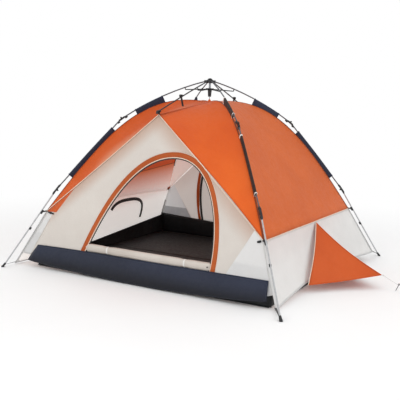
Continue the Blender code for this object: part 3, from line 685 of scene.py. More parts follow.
ZIP = webbing("zip_tape", "18181A", "2E2E31")
PLASTIC = grain("moulded_black", "1C1C1F", 0.48, 0.0, "2A2A2D").made
STRUT = grain("strut_metal", "1E1F21", 0.40, 0.5, "343538", 500.0, 0.0001, (1, 1, 0.1)).made
CHROME = grain("column_metal", "8C8E92", 0.28, 0.9, "6C6E72", 500.0, 0.0001, (1, 1, 0.05)).made
PEG = grain("peg_metal", "55565A", 0.35, 0.9, "7C7D80").made

SLOTS = {"orange_cloth": (ORANGE, SIDE_ORANGE, VENT, BINDING, RIDGE), "white_cloth": (WHITE,),
         "cream_cloth": (CREAM, SILL, PIPING, TIE), "navy_cloth": (NAVY, SLEEVE, DARK),
         "floor_cloth": (BLACK,), "zip_metal": (ZIP,), "black_plastic": (PLASTIC, STRAP, STRUT),
         "guy_cord": (CORD, PEG)}
SLOT_OF = {finish.name: slot for slot, finishes in SLOTS.items() for finish in finishes}


# Roof.


def ridge(share):
    """Roof ridge under a leg as (out, up), from the apex at 0 to the corner clip at 1."""
    return bezier(RIDGE_LINE, share)


def roof_point(end, across, share):
    """Point on an end gore; end is -1 at the front, across -1..1 from the left ridge to the right one."""
    out, up = ridge(share)
    scale = out / CORNER_R
    part = abs(across)
    x = max((CORNER[0] * scale - 0.001) * part, 0.0)
    middle = (PEAK[1] * share, APEX[2] + (PEAK[2] - APEX[2]) * share)
    y, z = mix(middle, (CORNER[1] * scale, up), part)
    lift = Vector((0.0, y, z - 0.9)).normalized()
    loose = 4 * part * (1 - part) * share
    point = Vector((math.copysign(x, across), y, z)) - lift * (0.022 * loose)
    point += lift * (0.0035 * loose * wobble((point.x, point.y * end, point.z), 3.2, 4.0))
    return Vector((point.x, end * point.y, point.z))


def build_end_roof(end_name):
    end = ENDS[end_name]
    body = f"roof_{end_name}"
    middle_run = Vector((0.0, end * PEAK[1], PEAK[2] - APEX[2]))
    for half_name, half in SIDES.items():
        rows = grid(30, 24, lambda u, v: roof_point(end, half * u, ROOF_START + (1 - ROOF_START) * v))
        made = sheet(f"canopy_{end_name}_{half_name}", rows)
        far = Vector((half * CORNER[0], end * CORNER[1], CORNER[2])) - Vector(APEX)
        axis = far - middle_run * (far.dot(middle_run) / middle_run.length_squared)
        fit(made, body, ORANGE, (axis, APEX, 0.05), (f"gore_{end_name}",))
    path = trail(20, lambda u: roof_point(end, 0.0, 0.06 + 0.93 * u) + Vector((0, 0, 0.0016)))
    fit(run(f"roof_seam_{end_name}", path, strap(0.005, 0.0009)), body, ORANGE)


def side_roof_point(side, across, share):
    """Point on a side gore; across runs from -1 at the front ridge to 1 at the rear one."""
    out, up = ridge(share)
    scale = out / CORNER_R
    arch = 1.0 - across * across
    bulge = 0.020 * arch * max(share - 0.75, 0.0) / 0.25
    dip = 0.035 * math.sin(math.pi * share) * share * arch
    x = CORNER[0] * scale - dip + bulge
    point = Vector((x, (CORNER[1] * scale - 0.001) * across, up - dip + bulge * 0.5))
    lift = Vector((point.x, 0.0, point.z - 0.6)).normalized()
    point += lift * (0.004 * share * arch * wobble((point.x, point.y, point.z * 0.6), 2.8, 9.0))
    return Vector((side * point.x, point.y, point.z))


def build_side_roof(side_name):
    side = SIDES[side_name]
    body = f"roof_{side_name}"
    rows = grid(32, 36, lambda u, v: side_roof_point(side, 2 * u - 1, ROOF_START + (1 - ROOF_START) * v))
    fit(sheet(f"canopy_{side_name}", rows), body, SIDE_ORANGE, ROOF_GATHER, (f"gore_{side_name}",))
    for end_name, end in ENDS.items():
        path = trail(30, lambda u: side_roof_point(side, end, 0.05 + 0.95 * u) + Vector((0, 0, 0.0012)))
        made = run(f"ridge_tape_{side_name}_{end_name}", path, strap(0.0055, 0.0012), (side, end, 1))
        fit(made, body, RIDGE, ROOF_GATHER)


# End walls. The rear wall is the front one turned half round.


def foot_corner(end, side):
    """Hem corner of an end wall, as front."""
    if end < 0:
        return HEM["fr"] if side > 0 else HEM["fl"]
    x, y, z = HEM["rl"] if side > 0 else HEM["rr"]
    return -x, -y, z


def wall_edge(height, side, end):
    """Half width of an end wall at a height, on its left (-1) or right (1) side."""
    if height > CORNER[2]:
        return CORNER[0] * (PEAK[2] - height) / (PEAK[2] - CORNER[2])
    foot = abs(foot_corner(end, side)[0])
    return foot + (CORNER[0] - foot) * height / CORNER[2]


def end_point(x, z, end, out=0.0):
    """Point on an end wall's outer face, moved out by a distance; x and z are as front."""
    share = min(abs(x) / max(wall_edge(z, x, end), 0.02), 1.0)
    pull = CORNER[1] - (WALL_Y - WALL_LEAN * CORNER[2])
    if z > CORNER[2]:
        pull *= max(0.0, (WALL_FLAT_ABOVE - z) / (WALL_FLAT_ABOVE - CORNER[2]))
    else:
        foot_pull = -foot_corner(end, x)[1] - WALL_Y
        pull = foot_pull + (pull - foot_pull) * max(z, 0.0) / CORNER[2]
    y = WALL_LEAN * z - WALL_Y - pull * share ** 4 - out
    return Vector((x, y, z)) if end < 0 else Vector((-x, -y, z))


def door_curve(shift=0.0):
    """The doorway's binding line from its left foot over to its right one, moved outwards by shift."""
    spots = trail(DOOR_STEPS, lambda u: bezier(DOOR_LEFT, u))[:-1]
    spots += trail(DOOR_STEPS, lambda u: bezier(DOOR_RIGHT, u))
    moved = []
    for i, (x, z) in enumerate(spots):
        ahead = spots[min(i + 1, len(spots) - 1)]
        behind = spots[max(i - 1, 0)]
        run_x, run_z = ahead[0] - behind[0], ahead[1] - behind[1]
        size = math.hypot(run_x, run_z)
        moved.append((x - run_z / size * shift, z + run_x / size * shift))
    return moved


def hit(outline, angle, centre):
    """Where a direction from a centre meets a closed outline of (x, z) points."""
    ray_x, ray_z = math.cos(angle), math.sin(angle)
    best = math.inf
    for i, start in enumerate(outline):
        end = outline[(i + 1) % len(outline)]
        side_x, side_z = end[0] - start[0], end[1] - start[1]
        gap_x, gap_z = start[0] - centre[0], start[1] - centre[1]
        cross = ray_x * side_z - ray_z * side_x
        if abs(cross) < 1e-9:
            continue
        reach = (gap_x * side_z - gap_z * side_x) / cross
        along = (gap_x * ray_z - gap_z * ray_x) / cross
        if reach > 0 and -1e-4 <= along <= 1.0001:
            best = min(best, reach)
    return centre[0] + ray_x * best, centre[1] + ray_z * best


def wall_outline(end):
    """End wall's outer edge: hem corners, foot behind the band, roof corners and peak."""
    left, right = foot_corner(end, -1), foot_corner(end, 1)
    return [(left[0], left[2]), *WALL_FOOT, (right[0], right[2]),
            (CORNER[0] - 0.001, CORNER[2] - 0.001), (0.0, PEAK[2] - 0.002),
            (-CORNER[0] + 0.001, CORNER[2] - 0.001)]


def wall_rows(inner, outer, centre, rings):
    """Rings of points along shared directions, from an inner outline, or the centre, to an outer one."""
    corners = outer + ([inner[0], inner[-1]] if inner else [])
    angles = [a - math.pi for a in turns(168)]
    for x, z in corners:
        corner = math.atan2(z - centre[1], x - centre[0])
        nearest = min(range(len(angles)), key=lambda i: abs(angles[i] - corner))
        angles[nearest] = corner
    far = [hit(outer, angle, centre) for angle in angles]
    if inner:
        near = [hit(inner, angle, centre) for angle in angles]
    else:
        near = [mix(centre, spot, 0.0015) for spot in far]
    return [[mix(a, b, ring / rings) for a, b in zip(near, far)] for ring in range(rings + 1)]


def wall_surface(x, z, end):
    """The wall's cloth, with soft tension folds that run down from the corners and the peak."""
    inside = min(1.0, (wall_edge(z, x, end) - abs(x)) / 0.10, z / 0.10)
    ripple = 0.006 * wobble((x * 1.3, 0, z * 0.8), 3.4, 2.0) + 0.0025 * wobble((x, 0, z), 9.0, 5.0)
    return end_point(x, z, end, ripple * max(inside, 0.0))


def build_end_wall(end_name):
    end = ENDS[end_name]
    body = f"end_{end_name}"
    flat = wall_rows(door_curve(), wall_outline(end), DOOR_MIDDLE, 16)
    rows = [[wall_surface(x, z, end) for x, z in row] for row in flat]
    fit(sheet(f"wall_{end_name}_panel", rows, closed=True), body, CREAM, END_GATHER, (f"wall_{end_name}",))
    build_door_trim(end_name, end, body)
    build_band(end_name, end, body)
    for side_name, side in SIDES.items():
        top = trail(24, lambda u: mix((side * CORNER[0], CORNER[2]), (0.0, PEAK[2]), u))
        path = [end_point(x, z - 0.001, end, 0.004) for x, z in top]
        made = run(f"seam_{end_name}_{side_name}", path, disc(0.0030, 8), (0, end, 0))
        fit(made, body, PIPING, END_GATHER)
        slant = WHITE_RIGHT if side > 0 else WHITE_LEFT
        path = trail(10, lambda u: end_point(*mix(*slant, u), end, 0.0022))
        made = run(f"panel_join_{end_name}_{side_name}", path, strap(0.0030, 0.0006), (0, end, 0))
        fit(made, body, CREAM, END_GATHER)


def build_door_trim(end_name, end, body):
    """Puffed binding between two pipings, with the zip behind them; the rear door is closed."""
    def edging(name, shift, out, section, finish):
        path = [end_point(x, z, end, out) for x, z in door_curve(shift)]
        fit(run(f"{name}_{end_name}", path, section, (0, end, 0)), body, finish, END_GATHER)

    puffed = [(0.0185, 0.0), (0.014, 0.0038), (0.0, 0.0050), (-0.014, 0.0038), (-0.0185, 0.0),
              (-0.014, -0.0034), (0.0, -0.0040), (0.014, -0.0034)]
    edging("door_binding", 0.0, 0.002, puffed, BINDING)
    edging("door_piping_outer", 0.0195, 0.002, disc(0.0014, 8), PIPING)
    edging("door_piping_inner", -0.0200, 0.002, disc(0.0036, 8), PIPING)
    if end < 0:
        edging("door_zip", -0.0275, -0.002, strap(0.0045, 0.0012), ZIP)
    else:
        edging("door_zip", -0.032, -0.006, strap(0.0110, 0.0018), ZIP)
        build_closed_door(end, body)


def build_closed_door(end, body):
    """The rear door's panel, drawn across its doorway."""
    flat = wall_rows(None, door_curve(), PANEL_MIDDLE, 14)
    rows = [[end_point(x, z, end, 0.004 * wobble((x, 0, z), 4.0, 6.0)) for x, z in row] for row in flat]
    fit(sheet("door_panel_rear", rows, closed=True, hole=False), body, CREAM, END_GATHER)


def band_bottom(x):
    """Height of the band's lower edge, which lifts towards both ends."""
    return 0.005 + 0.046 * ((x + 0.03) / 1.03) ** 2


def build_band(end_name, end, body):
    """The groundsheet's navy outside, which bellies out along the wall's foot and tapers at both ends."""
    def place(u, v):
        left, right = -0.985 - 0.065 * v, 1.000 + 0.010 * v
        x = left + (right - left) * u
        top = BAND_TOP + 0.014 * max(x, 0.0) ** 2
        z = top + (band_bottom(x) - top) * v
        taper = max(0.0, min(1.0, (x - left) / BAND_TAPER, (right - x) / BAND_TAPER)) ** 0.6
        belly = 0.006 + 0.012 * v + (0.010 + 0.044 * taper) * math.sin(math.pi * 0.78 * v)
        belly += 0.005 * v * taper * wobble((x, 0, z * 0.5), 5.0, 1.0)
        return end_point(x, z, end, belly)

    rows = grid(14, 60, place)
    fit(sheet(f"band_{end_name}", rows, 0.0022), body, NAVY, END_GATHER)
    path = [point + Vector((0, 0, 0.001)) for point in rows[0]]
    made = run(f"band_tape_{end_name}", path, strap(0.004, 0.0014), (0, end, 0.2))
    fit(made, body, SLEEVE, END_GATHER)


# Side walls.


def side_wall_point(side, across, share):
    """Point on a side wall, from the roof seam (0) to the hem (1); across runs from the front to the rear.

    The hem is drawn in and lifted in its middle, and the cloth hollows between seam and hem."""
    arch = 1.0 - across * across
    front, rear = (HEM["fr"], HEM["rr"]) if side > 0 else (HEM["fl"], HEM["rl"])
    top = Vector((CORNER[0] + 0.020 * arch, CORNER[1] * across, CORNER[2] + 0.010 * arch - 0.003))
    hem = Vector(mix((abs(front[0]), *front[1:]), (abs(rear[0]), *rear[1:]), (across + 1) / 2))
    hem.x -= 0.055 * arch
    hem.z += 0.040 * arch ** 1.5
    point = top.lerp(hem, share)
    point.y += 0.002 * across * (1 - share)
    point.x -= 0.018 * math.sin(math.pi * share) * arch
    point.x += 0.007 * arch * wobble((0, across * 1.2, share * 0.5), 3.0, side * 2 + 5) * share
    return Vector((side * point.x, point.y, point.z))


def build_side_wall(side_name):
    side = SIDES[side_name]
    body = f"side_{side_name}"

    def level(steps, share, push):
        return trail(steps, lambda u: side_wall_point(side, 2 * u - 1, share) + Vector(push))

    rows = grid(18, 48, lambda u, v: side_wall_point(side, 2 * u - 1, v))
    fit(sheet(f"wall_{side_name}_panel", rows), body, WHITE, SIDE_GATHER, (f"wall_{side_name}",))
    made = run(f"seam_{side_name}", level(40, 0.0, (side * 0.0035, 0, 0.001)), disc(0.0028, 8))
    fit(made, body, PIPING, SIDE_GATHER)
    for end_name, end in ENDS.items():
        path = trail(16, lambda u: side_wall_point(side, end, u) + Vector((side * 0.001, 0, 0)))
        made = run(f"corner_tape_{side_name}_{end_name}", path, strap(0.0060, 0.0014), (side, end, 0))
        fit(made, body, WHITE, SIDE_GATHER)
    made = run(f"hem_{side_name}", level(48, 0.985, (side * 0.001, 0, 0)), strap(0.006, 0.0014), (1, 0, 0))
    fit(made, body, WHITE, SIDE_GATHER)


def build_side_zip():
    """Black zip arc of the window in the left wall, seen from inside."""
    def place(u):
        swing = WINDOW_STOP + (math.pi - WINDOW_STOP) * u
        side = math.copysign(abs(math.cos(swing)) ** 0.70, math.cos(swing))
        y = WINDOW_MIDDLE[0] - WINDOW_HALF[0] * side
        z = WINDOW_MIDDLE[1] + WINDOW_HALF[1] * abs(math.sin(swing)) ** 0.50
        return side_wall_point(-1.0, y / WALL_Y, (CORNER[2] - z) / CORNER[2]) + Vector((0.006, 0, 0))

    made = run("window_zip_left", trail(30, place), strap(0.0150, 0.0018), (1, 0, 0))
    fit(made, "side_left", ZIP, SIDE_GATHER)


# Floor.


def build_groundsheet(end_name):
    low_y, high_y = -FLOOR_Y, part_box("floor_front")[1][1]
    if end_name == "rear":
        low_y, high_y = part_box("floor_rear")[0][1], FLOOR_Y

    def place(u, v):
        x, y = FLOOR_HALF_X * (2 * u - 1), low_y + (high_y - low_y) * v
        return Vector((x, y, 0.0038 + 0.0020 * wobble((x, y, 0), 4.5, 3.0)))

    made = sheet(f"groundsheet_{end_name}", grid(16, 40, place))
    fit(made, f"floor_half_{end_name}", BLACK, FLOOR_GATHER, (f"floor_{end_name}",))


def build_end_tub(end_name):
    """Turned-up edge of the floor inside an end wall."""
    end = ENDS[end_name]

    def place(u, v):
        x = END_TUB_X * (2 * u - 1)
        top = 0.162 if end < 0 else 0.145 + 0.055 * x
        foot = 0.002 + 0.055 * max(-x, 0.0) ** 4
        out = -0.010 - 0.016 * v - 0.008 * math.sin(math.pi * v) - 0.030 * (x / END_TUB_X) ** 4
        return end_point(x * (1.0 - 0.02 * v), foot + (top - foot) * v, end, out)

    fit(sheet(f"tub_{end_name}", grid(8, 40, place)), f"end_{end_name}", BLACK, TUB_GATHER)


def build_side_tub(side_name):
    """Turned-up edge of the floor inside a side wall."""
    side = SIDES[side_name]

    def place(u, v):
        y = SIDE_TUB_Y * (2 * u - 1)
        x = SIDE_TUB_X - 0.022 * v + 0.008 * math.sin(math.pi * v)
        return Vector((side * x, y * (1 - 0.020 * v), 0.002 + (0.110 + 0.085 * y) * v))

    fit(sheet(f"tub_{side_name}", grid(8, 40, place)), f"side_{side_name}", BLACK, SIDE_GATHER)


# Door roll along the sill.


def roll_section(x, turn):
    """Depth and height of the rolled door, from its middle, at a turn round it."""
    pinch = min(0.86 + 0.14 * min(1.0, abs(x - tie) / 0.05) for tie in ROLL_TIES)
    lump = 1.0 + 0.05 * wobble((x * 2.0, math.cos(turn), math.sin(turn)), 2.6, 5.0)
    lump *= 0.96 + 0.04 * wobble((x, 0, 0), 6.0, 8.0)
    flat = abs(math.cos(turn)) ** 0.8 * math.copysign(1.0, math.cos(turn))
    return ROLL_HALF[0] * pinch * lump * flat, ROLL_HALF[1] * pinch * lump * math.sin(turn)


def roll_centre(x):
    return Vector((x, ROLL_Y - 0.004 * math.cos(x * 2.5), ROLL_Z))


def build_roll():
    """The door's panel, rolled down onto the sill, with its layers showing at both ends."""
    count, steps = 26, 60

    def ring_at(share):
        x = ROLL_ENDS[0] + (ROLL_ENDS[1] - ROLL_ENDS[0]) * share
        ring = []
        for k, turn in enumerate(turns(count)):
            depth, up = roll_section(x, turn)
            lap = 0.0030 * (1 - k / count)
            ring.append(roll_centre(x) + Vector((0.0, depth + math.copysign(lap, depth), up)))
        return ring

    rings = trail(steps, ring_at)
    verts = [v for ring in rings for v in ring]
    faces = quads(steps + 1, count, True)
    for first, sign in ((0, 1), (steps, -1)):
        ring = [first * count + k for k in range(count)]
        centre = roll_centre(rings[first][0].x)
        for depth, scale in ((0.004, 0.82), (-0.004, 0.59), (0.003, 0.42), (-0.003, 0.30)):
            base = len(verts)
            verts += [centre + (v - centre) * scale + Vector((sign * depth, 0, 0)) for v in rings[first]]
            for k in range(count):
                after = (k + 1) % count
                faces.append((ring[k], ring[after], base + after, base + k))
            ring = [base + k for k in range(count)]
        faces.append(tuple(ring))
    made = new_object("door_roll_cloth", verts, faces)
    spread = [(v.x, math.atan2(v.z - ROLL_Z, v.y - ROLL_Y) * 0.026, 0.0) for v in verts]
    store(made, "weave", spread, "FLOAT_VECTOR")
    store(made, "edge", [0.05] * len(verts))
    even_normals(made.data)
    fit(made, "end_front", SILL, END_GATHER, ("door_roll",))


def build_roll_ties():
    """Two ties round the rolled door, and the stud at the sill's right end."""
    for side_name, x in zip(("left", "right"), ROLL_TIES):
        centre = roll_centre(x)
        loop = []
        for turn in turns(28, closed=True):
            depth, up = roll_section(x, turn)
            loop.append(centre + Vector((0.0, depth * 1.12, up * 1.05)))
        fit(hoop(f"roll_tie_{side_name}", loop, centre, strap(0.0065, 0.0014)), "end_front", TIE, END_GATHER)
    path = line(SILL_STUD, Vector(SILL_STUD) + Vector((0, -0.006, 0)), 4)
    made = run("sill_stud", path, disc(0.0055), scale=lambda u: 1.0 - 0.35 * u)
    fit(made, "end_front", PLASTIC, END_GATHER)


# Vent awning and its guy line.


def build_vent():
    """Awning of two faces that meet in a crest, from the wall's top seam to a tip above the ground."""
    top = Vector(VENT_TOP)
    tip = Vector((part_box("vent_awning")[1][0] - 0.003, 0.0, VENT_TIP_Z))
    gather = (VENT_ACROSS, tip, 0.07)
    for end_name, sign in ENDS.items():
        foot = Vector((VENT_FOOT[0], sign * VENT_FOOT[1], VENT_FOOT[2]))

        def place(u, v):
            bow = math.sin(math.pi * v)
            inner = top.lerp(foot, v) + Vector((0.010, sign * -0.014, 0.0)) * bow
            outer = top.lerp(tip, v) + Vector((-0.010, 0.0, -0.020)) * bow
            sag = Vector((-0.010, -sign * 0.022, -0.012 * v)) * (math.sin(math.pi * u) * v)
            point = inner.lerp(outer, u) + sag
            point.z = max(point.z, VENT_LOW)
            return point

        rows = grid(24, 20, place)
        fit(sheet(f"vent_{end_name}", rows), "side_right", VENT, gather, ("vent_awning",) if sign < 0 else ())
        edge = [row[0] + Vector((0.001, sign * 0.002, 0.001)) for row in rows]
        fit(run(f"vent_piping_{end_name}", edge, disc(0.0030, 8), (1, 0, 0)), "side_right", PIPING, gather)
        if sign < 0:
            crest = [row[-1] + Vector((0, 0, 0.0015)) for row in rows]
            fit(run("vent_crest_seam", crest, disc(0.0026, 8)), "side_right", VENT, gather)
    build_guy(tip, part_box("vent_guy")[1][0])


def build_guy(tip, far_x):
    """Cord with a ring at the awning's tip, and a hooked peg."""
    start = tip + Vector((0.010, 0, 0.0))
    head = Vector((far_x - 0.006, 0.0, PEG_HEAD_Z))
    ring = [start + Vector((0.004 * math.cos(a) + 0.002, 0.0, 0.004 * math.sin(a))) for a in turns(12, True)]
    path = line(start + Vector((0.006, 0, 0)), head, 12)
    for i, spot in enumerate(path):
        spot.z -= 0.004 * math.sin(math.pi * i / 12)
    cord = [run("ring", ring, disc(0.0012, 6), (0, 1, 0)), run("line", path, disc(0.0013, 8))]
    fit(join("guy_cord", cord), "guy", CORD, bend=("side_right", "guy", tuple(start), tuple(head)))

    def bend(u):
        a = math.pi * (0.9 - 1.2 * u)
        return head + Vector((0.006 * math.cos(a) - 0.001, 0, 0.004 + 0.006 * math.sin(a)))

    path = line(head + Vector((-0.002, 0, 0.006)), Vector((far_x - 0.030, 0.0, 0.002)), 8)
    shaft = run("shaft", path, disc(0.0026, 8), (0, 1, 0), lambda u: min(1.0, 1.0 - (u - 0.85) * 5.0))
    hook = run("hook", trail(10, bend), disc(0.0024, 8), (0, 1, 0))
    fit(join("guy_peg", [shaft, hook]), "guy", PEG, stands_for=("vent_guy",))


# Frame details.


def leg_normal(start, end, leg):
    """Direction away from the canopy, square to a pole section in its leg's plane."""
    far = leg_spot(leg, start[1] - end[1], end[0] - start[0])
    return (-far if far.z < 0 else far).normalized()


def build_sleeve(leg, label):
    """Cloth fin that hangs the roof's ridge from a pole: wrapped round the pole and stitched below it."""
    start, end, depths, keep = SLEEVES[label]
    count, steps = 16, 16
    body = f"leg_{label}_{leg}"
    away = leg_normal(start, end, leg)
    across = leg_spot(leg, 0.0, 0.0, 1.0).normalized()

    def ring_at(share):
        pole = leg_spot(leg, *mix(start, end, share)) + away * (0.003 * math.sin(math.pi * share))
        ring = []
        for swing in turns(count):
            up = math.cos(swing)
            reach = SLEEVE_WRAP if up > 0 else depths[0] + (depths[1] - depths[0]) * share
            width = SLEEVE_WRAP if up > -0.3 else SLEEVE_WRAP * (1 - 0.62 * (-up - 0.3) / 0.7)
            ring.append(pole + away * (up * reach) + across * (math.sin(swing) * width))
        return ring

    rings = trail(steps, ring_at)
    made = new_object(f"sleeve_{label}_{leg}_cloth", *loft(rings))
    step = math.dist(start, end) / steps
    spots = [(i, k) for i in range(steps + 1) for k in range(count)]
    store(made, "weave", [(i * step, k * 0.004, 0.0) for i, k in spots], "FLOAT_VECTOR")
    store(made, "edge", [min(i, steps - i) * step for i, _ in spots])
    even_normals(made.data)
    gather = (away, leg_spot(leg, *start), keep) if keep < 1 else None
    dark = leg == "fr"
    fit(made, body, DARK if dark else SLEEVE, gather, (f"sleeve_{label}_{leg}",))
    for tag, ring, inner in (("a", rings[0], rings[1]), ("b", rings[-1], rings[-2])):
        centre = sum(ring, Vector((0, 0, 0))) / count
        push = (inner[0] - ring[0]).normalized() * 0.003
        loop = [centre + (v - centre) * 1.05 + push for v in ring + ring[:1]]
        made = hoop(f"sleeve_{label}_{leg}_end_{tag}", loop, centre, strap(0.0045, 0.0010))
        fit(made, body, TIE if dark else SLEEVE, gather, slot="cream_cloth")


def grip(name, middle, along, half, radius):
    """Short barrel round a pole."""
    path = line(middle - along * half, middle + along * half, 6)
    return run(name, path, disc(radius, 12), scale=lambda u: hump(u, 0.84))


def build_clips(leg):
    """Clip from a roof corner to the pole, another one lower down, and the webbing from hem to foot."""
    x_sign, y_sign = LEGS[leg]
    body = f"leg_lower_{leg}"
    corner = Vector((x_sign * (CORNER[0] - 0.004), y_sign * (CORNER[1] - 0.004), CORNER[2] + 0.002))
    pole = leg_spot(leg, *CORNER_CLIP)
    foot = leg_spot(leg, *FOOT)
    along = (foot - leg_spot(leg, *ELBOW_TWO)).normalized()
    path = line(corner, pole, 8)
    bar = run("bar", path, strap(0.0085, 0.0060), scale=lambda u: 1.0 - 0.25 * math.sin(math.pi * u))
    fit(join(f"corner_clip_{leg}", [bar, grip("grip", pole, along, 0.017, 0.0100)]), body, PLASTIC)
    fit(grip(f"lower_clip_{leg}", pole.lerp(foot, 0.30), along, 0.011, 0.0095), body, PLASTIC)
    hem = Vector(HEM[leg]) + Vector((-0.010 * x_sign, -0.006 * y_sign, 0.014))
    start = leg_spot(leg, FOOT[0] - 0.020, 0.020)
    section = strap(0.0085, 0.0011) if leg in ("fr", "rr") else disc(0.0020, 6)
    made = run(f"foot_strap_{leg}", line(start, hem, 10), section, scale=lambda u: 0.45 + 0.55 * u)
    fit(made, body, STRAP, ((hem - start).normalized(), start, 0.08))


def build_buckle(leg):
    """Small buckle on the end wall beside the roof corner, with the loose tail of its strap."""
    x_sign, end = LEGS[leg]
    side = -x_sign * end
    body = "end_front" if end < 0 else "end_rear"
    root = CORNER[0] - 0.018
    tail = 0.055 if side < 0 else 0.030
    start = end_point(side * root, CORNER[2] - 0.006, end, 0.004)
    stop = end_point(side * (root - tail), CORNER[2] - 0.016, end, 0.006)
    made = run(f"buckle_strap_{leg}", line(start, stop, 8), strap(0.0060, 0.0012), (0, end, 0))
    fit(made, body, STRAP, END_GATHER)
    spot = start.lerp(stop, 0.45)
    reach = (stop - start).normalized() * 0.009
    path = line(spot - reach, spot + reach, 6)
    made = run(f"buckle_{leg}", path, strap(0.0085, 0.0034), (0, end, 0), lambda u: hump(u, 0.85))
    fit(made, body, STRUT, END_GATHER)


def cover_section(radius, pin_side):
    """Round section that is half as high on the side where the elbow's pin stands."""
    return [(u, v * 0.5 if v * pin_side >= 0 else v) for u, v in disc(radius, 14)]


def build_elbow_covers(leg):
    """Tapered plastic collars on both sides of each elbow; every half stays with its own pole."""
    spots = (("one", HUB_PIN, ELBOW_ONE, ELBOW_TWO, 1.0, "upper", "middle"),
             ("two", ELBOW_ONE, ELBOW_TWO, FOOT, -1.0, "middle", "lower"))
    for label, before, bend, after, pin_side, near_pole, far_pole in spots:
        middle = leg_spot(leg, *bend)
        for tag, target, pole in (("near", before, near_pole), ("far", after, far_pole)):
            away = (leg_spot(leg, *target) - middle).normalized()
            path = line(middle + away * 0.028, middle + away * 0.050, 6)
            made = run(f"elbow_{label}_cover_{tag}_{leg}", path, cover_section(0.0118, pin_side),
                       leg_normal(bend, target, leg), lambda u: 1.0 - 0.40 * u ** 1.5)
            fit(made, f"leg_{pole}_{leg}", PLASTIC)


def rounds(profile, base, count, pleat=0.0):
    """Rings from a profile of (radius, height above base); pleat ripples the wide ones."""
    rings = []
    for radius, rise in profile:
        ring = []
        for a in turns(count):
            size = radius * (1.0 + pleat * math.sin(8 * a) * min(1.0, radius / 0.03))
            ring.append(Vector((size * math.cos(a), size * math.sin(a), base + rise)))
        rings.append(ring)
    return rings


def build_hub():
    """Domed cap on the crown, and the cloth tuft and cord that hang the roof's apex from the runner."""
    cap = new_object("hub_cap", *loft(rounds(CAP_PROFILE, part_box("hub_crown")[1][2], 24)))
    even_normals(cap.data)
    fit(cap, "hub", PLASTIC)
    tuft = sheet("apex_patch", rounds(TUFT_PROFILE, APEX[2], 40, 0.07), closed=True)
    fit(tuft, "runner", ORANGE, TUFT_GATHER)
    path = line((0, 0, CORD_LOW), (0, 0, CORD_TOP), 6)
    fit(run("apex_cord", path, disc(0.0022, 8), (1, 0, 0)), "runner", STRAP)


def build_arm_straps():
    """Short webbing loops that hang the roof from the two short arms."""
    spots = (("front", "front", ARM_NEAR), ("rear", "rear", ARM_NEAR), ("rear_outer", "rear", ARM_OUTER),
             ("front_tip", "front", ARM_TIP), ("rear_tip", "rear", ARM_TIP))
    for label, end_name, (upper, lower) in spots:
        end = ENDS[end_name]
        at = Vector((0, end * upper[0], upper[1]))
        tape = run("tape", line(at, (0, end * lower[0], lower[1]), 6), strap(0.0085, 0.0010), (0, end, 0.5))
        ring = [at + Vector((0.0, 0.0098 * math.cos(a), 0.0098 * math.sin(a))) for a in turns(16, True)]
        made = join(f"arm_strap_{label}", [tape, hoop("loop", ring, at, strap(0.0110, 0.0010))])
        fit(made, f"arm_{end_name}", STRAP, ((0, 0, 1), at, 0.3))


def build_slider():
    """The door zip's slider and its pull."""
    low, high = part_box("zip_slider")
    x, y = (low[0] + high[0]) / 2 - 0.012, (low[1] + high[1]) / 2
    top, bottom = high[2] - 0.002, high[2] - 0.018
    path = line((x, y, top), (x, y - 0.001, bottom), 6)
    shell = run("shell", path, strap(0.0045, 0.0030), (0, -1, 0), lambda u: hump(u, 0.75))
    path = line((x, low[1] + 0.001, bottom + 0.002), (x, low[1] + 0.0015, low[2] + 0.001), 6)
    pull = run("pull", path, strap(0.0036, 0.0010), (0, -1, 0), lambda u: 0.7 + 0.45 * u)
    fit(join("zip_pull", [shell, pull]), "zip", PLASTIC, END_GATHER, ("zip_slider",), slot="zip_metal")


def dress_frame():
    """Better finishes for the CAD pieces that stay."""
    pole = pole_finish("pole_dark", (KNUCKLE_ONE, KNUCKLE_TWO), "5A5C61", "7E8085", 0.7)
    lower = pole_finish("pole_pale", (KNUCKLE_TWO,), "B9BABC", "8C8E92", 0.55)
    groups = [(PLASTIC, ("hub_crown", "hub_runner", "arm_front", "arm_rear")),
              (CHROME, ("hub_rod", "hub_tube_1", "hub_tube_2", "hub_tube_3")),
              (STRUT, ("arm_strut_front", "arm_strut_rear"))]
    for leg in LEGS:
        groups += [(pole, (f"upper_pole_{leg}", f"middle_pole_{leg}")), (lower, (f"lower_pole_{leg}",)),
                   (PLASTIC, (f"elbow_one_{leg}", f"elbow_two_{leg}", f"foot_{leg}")),
                   (STRUT, (f"strut_{leg}",))]
    for finish, nodes in groups:
        for node in nodes:
            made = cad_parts[node]
            made.data.materials.clear()
            made.data.materials.append(finish)


# Ground, light and camera.


def build_ground():
    """Pale floor that fades to plain white further out."""
    reach = 14.0
    corners = [(-reach, -reach, 0), (reach, -reach, 0), (reach, reach, 0), (-reach, reach, 0)]
    ground = new_object("ground", corners, [(0, 1, 2, 3)])
    ground.location.z = -0.001
    finish = Finish("ground_pale", 0.85)
    spot = finish.spot()
    finish.set("Base Color", finish.blend(finish.noise(spot, 1.5), rgb("FFFFFF"), rgb("FBFBFB")))
    far = finish.ramp(finish.vector("LENGTH", "Value", spot), 1.9, 4.5)
    white = finish.add("ShaderNodeEmission", {"Color": WHITE_LIGHT, "Strength": 1.0})
    ground.data.materials.append(finish.mixed(far, white))


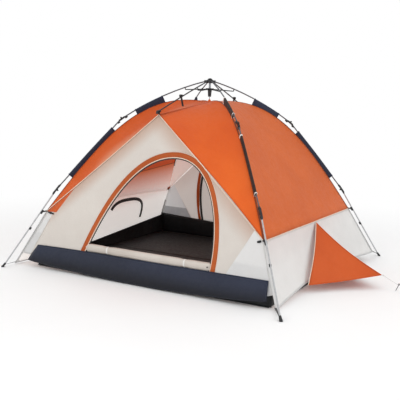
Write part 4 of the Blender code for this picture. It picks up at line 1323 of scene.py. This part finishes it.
def build_sky():
    """Soft white light from all round, and plain white behind the tent."""
    world = bpy.data.worlds.new("studio")
    world.use_nodes = True
    tree = world.node_tree
    soft = tree.nodes["Background"]
    plain = tree.nodes.new("ShaderNodeBackground")
    for node, strength in ((soft, SKY_STRENGTH), (plain, 1.0)):
        node.inputs["Color"].default_value = WHITE_LIGHT
        node.inputs["Strength"].default_value = strength
    rays = tree.nodes.new("ShaderNodeLightPath")
    chosen = tree.nodes.new("ShaderNodeMixShader")
    for i, socket in enumerate((rays.outputs["Is Camera Ray"], soft.outputs[0], plain.outputs[0])):
        tree.links.new(socket, chosen.inputs[i])
    tree.links.new(chosen.outputs[0], tree.nodes["World Output"].inputs["Surface"])
    bpy.context.scene.world = world


def build_lamps():
    for name, (place, energy, size) in LAMPS.items():
        light = bpy.data.lights.new(name, "AREA")
        light.energy = energy
        light.size = size
        lamp = bpy.data.objects.new(name, light)
        lamp.location = place
        lamp.rotation_mode = "QUATERNION"
        lamp.rotation_quaternion = (Vector(LAMP_AIM) - Vector(place)).to_track_quat("-Z", "Y")
        bpy.context.scene.collection.objects.link(lamp)
    bpy.context.scene.view_settings.view_transform = "Standard"


def build_camera():
    yaw, pitch, roll = (math.radians(a) for a in CAMERA_TURN)
    back = Vector((math.sin(yaw) * math.cos(pitch), -math.cos(yaw) * math.cos(pitch), math.sin(pitch)))
    right = (-back).cross(Vector((0, 0, 1))).normalized()
    up = right.cross(-back)
    tilted = right * math.cos(roll) + up * math.sin(roll)
    raised = up * math.cos(roll) - right * math.sin(roll)
    data = bpy.data.cameras.new("camera")
    data.sensor_width = CAMERA_SENSOR
    data.lens = CAMERA_LENS
    data.shift_x, data.shift_y = CAMERA_SHIFT
    camera = bpy.data.objects.new("camera", data)
    turn = Matrix((tilted, raised, back)).transposed()
    camera.matrix_world = Matrix.Translation(CAMERA_PLACE) @ turn.to_4x4()
    bpy.context.scene.collection.objects.link(camera)
    bpy.context.scene.camera = camera


def build():
    dress_frame()
    for end_name in ENDS:
        build_end_roof(end_name)
        build_end_wall(end_name)
        build_groundsheet(end_name)
        build_end_tub(end_name)
    for side_name in SIDES:
        build_side_roof(side_name)
        build_side_wall(side_name)
        build_side_tub(side_name)
    build_side_zip()
    build_roll()
    build_roll_ties()
    build_vent()
    for leg in LEGS:
        for label in SLEEVES:
            build_sleeve(leg, label)
        build_elbow_covers(leg)
        build_clips(leg)
        build_buckle(leg)
    build_hub()
    build_arm_straps()
    build_slider()
    build_ground()
    build_sky()
    build_lamps()
    build_camera()


build()
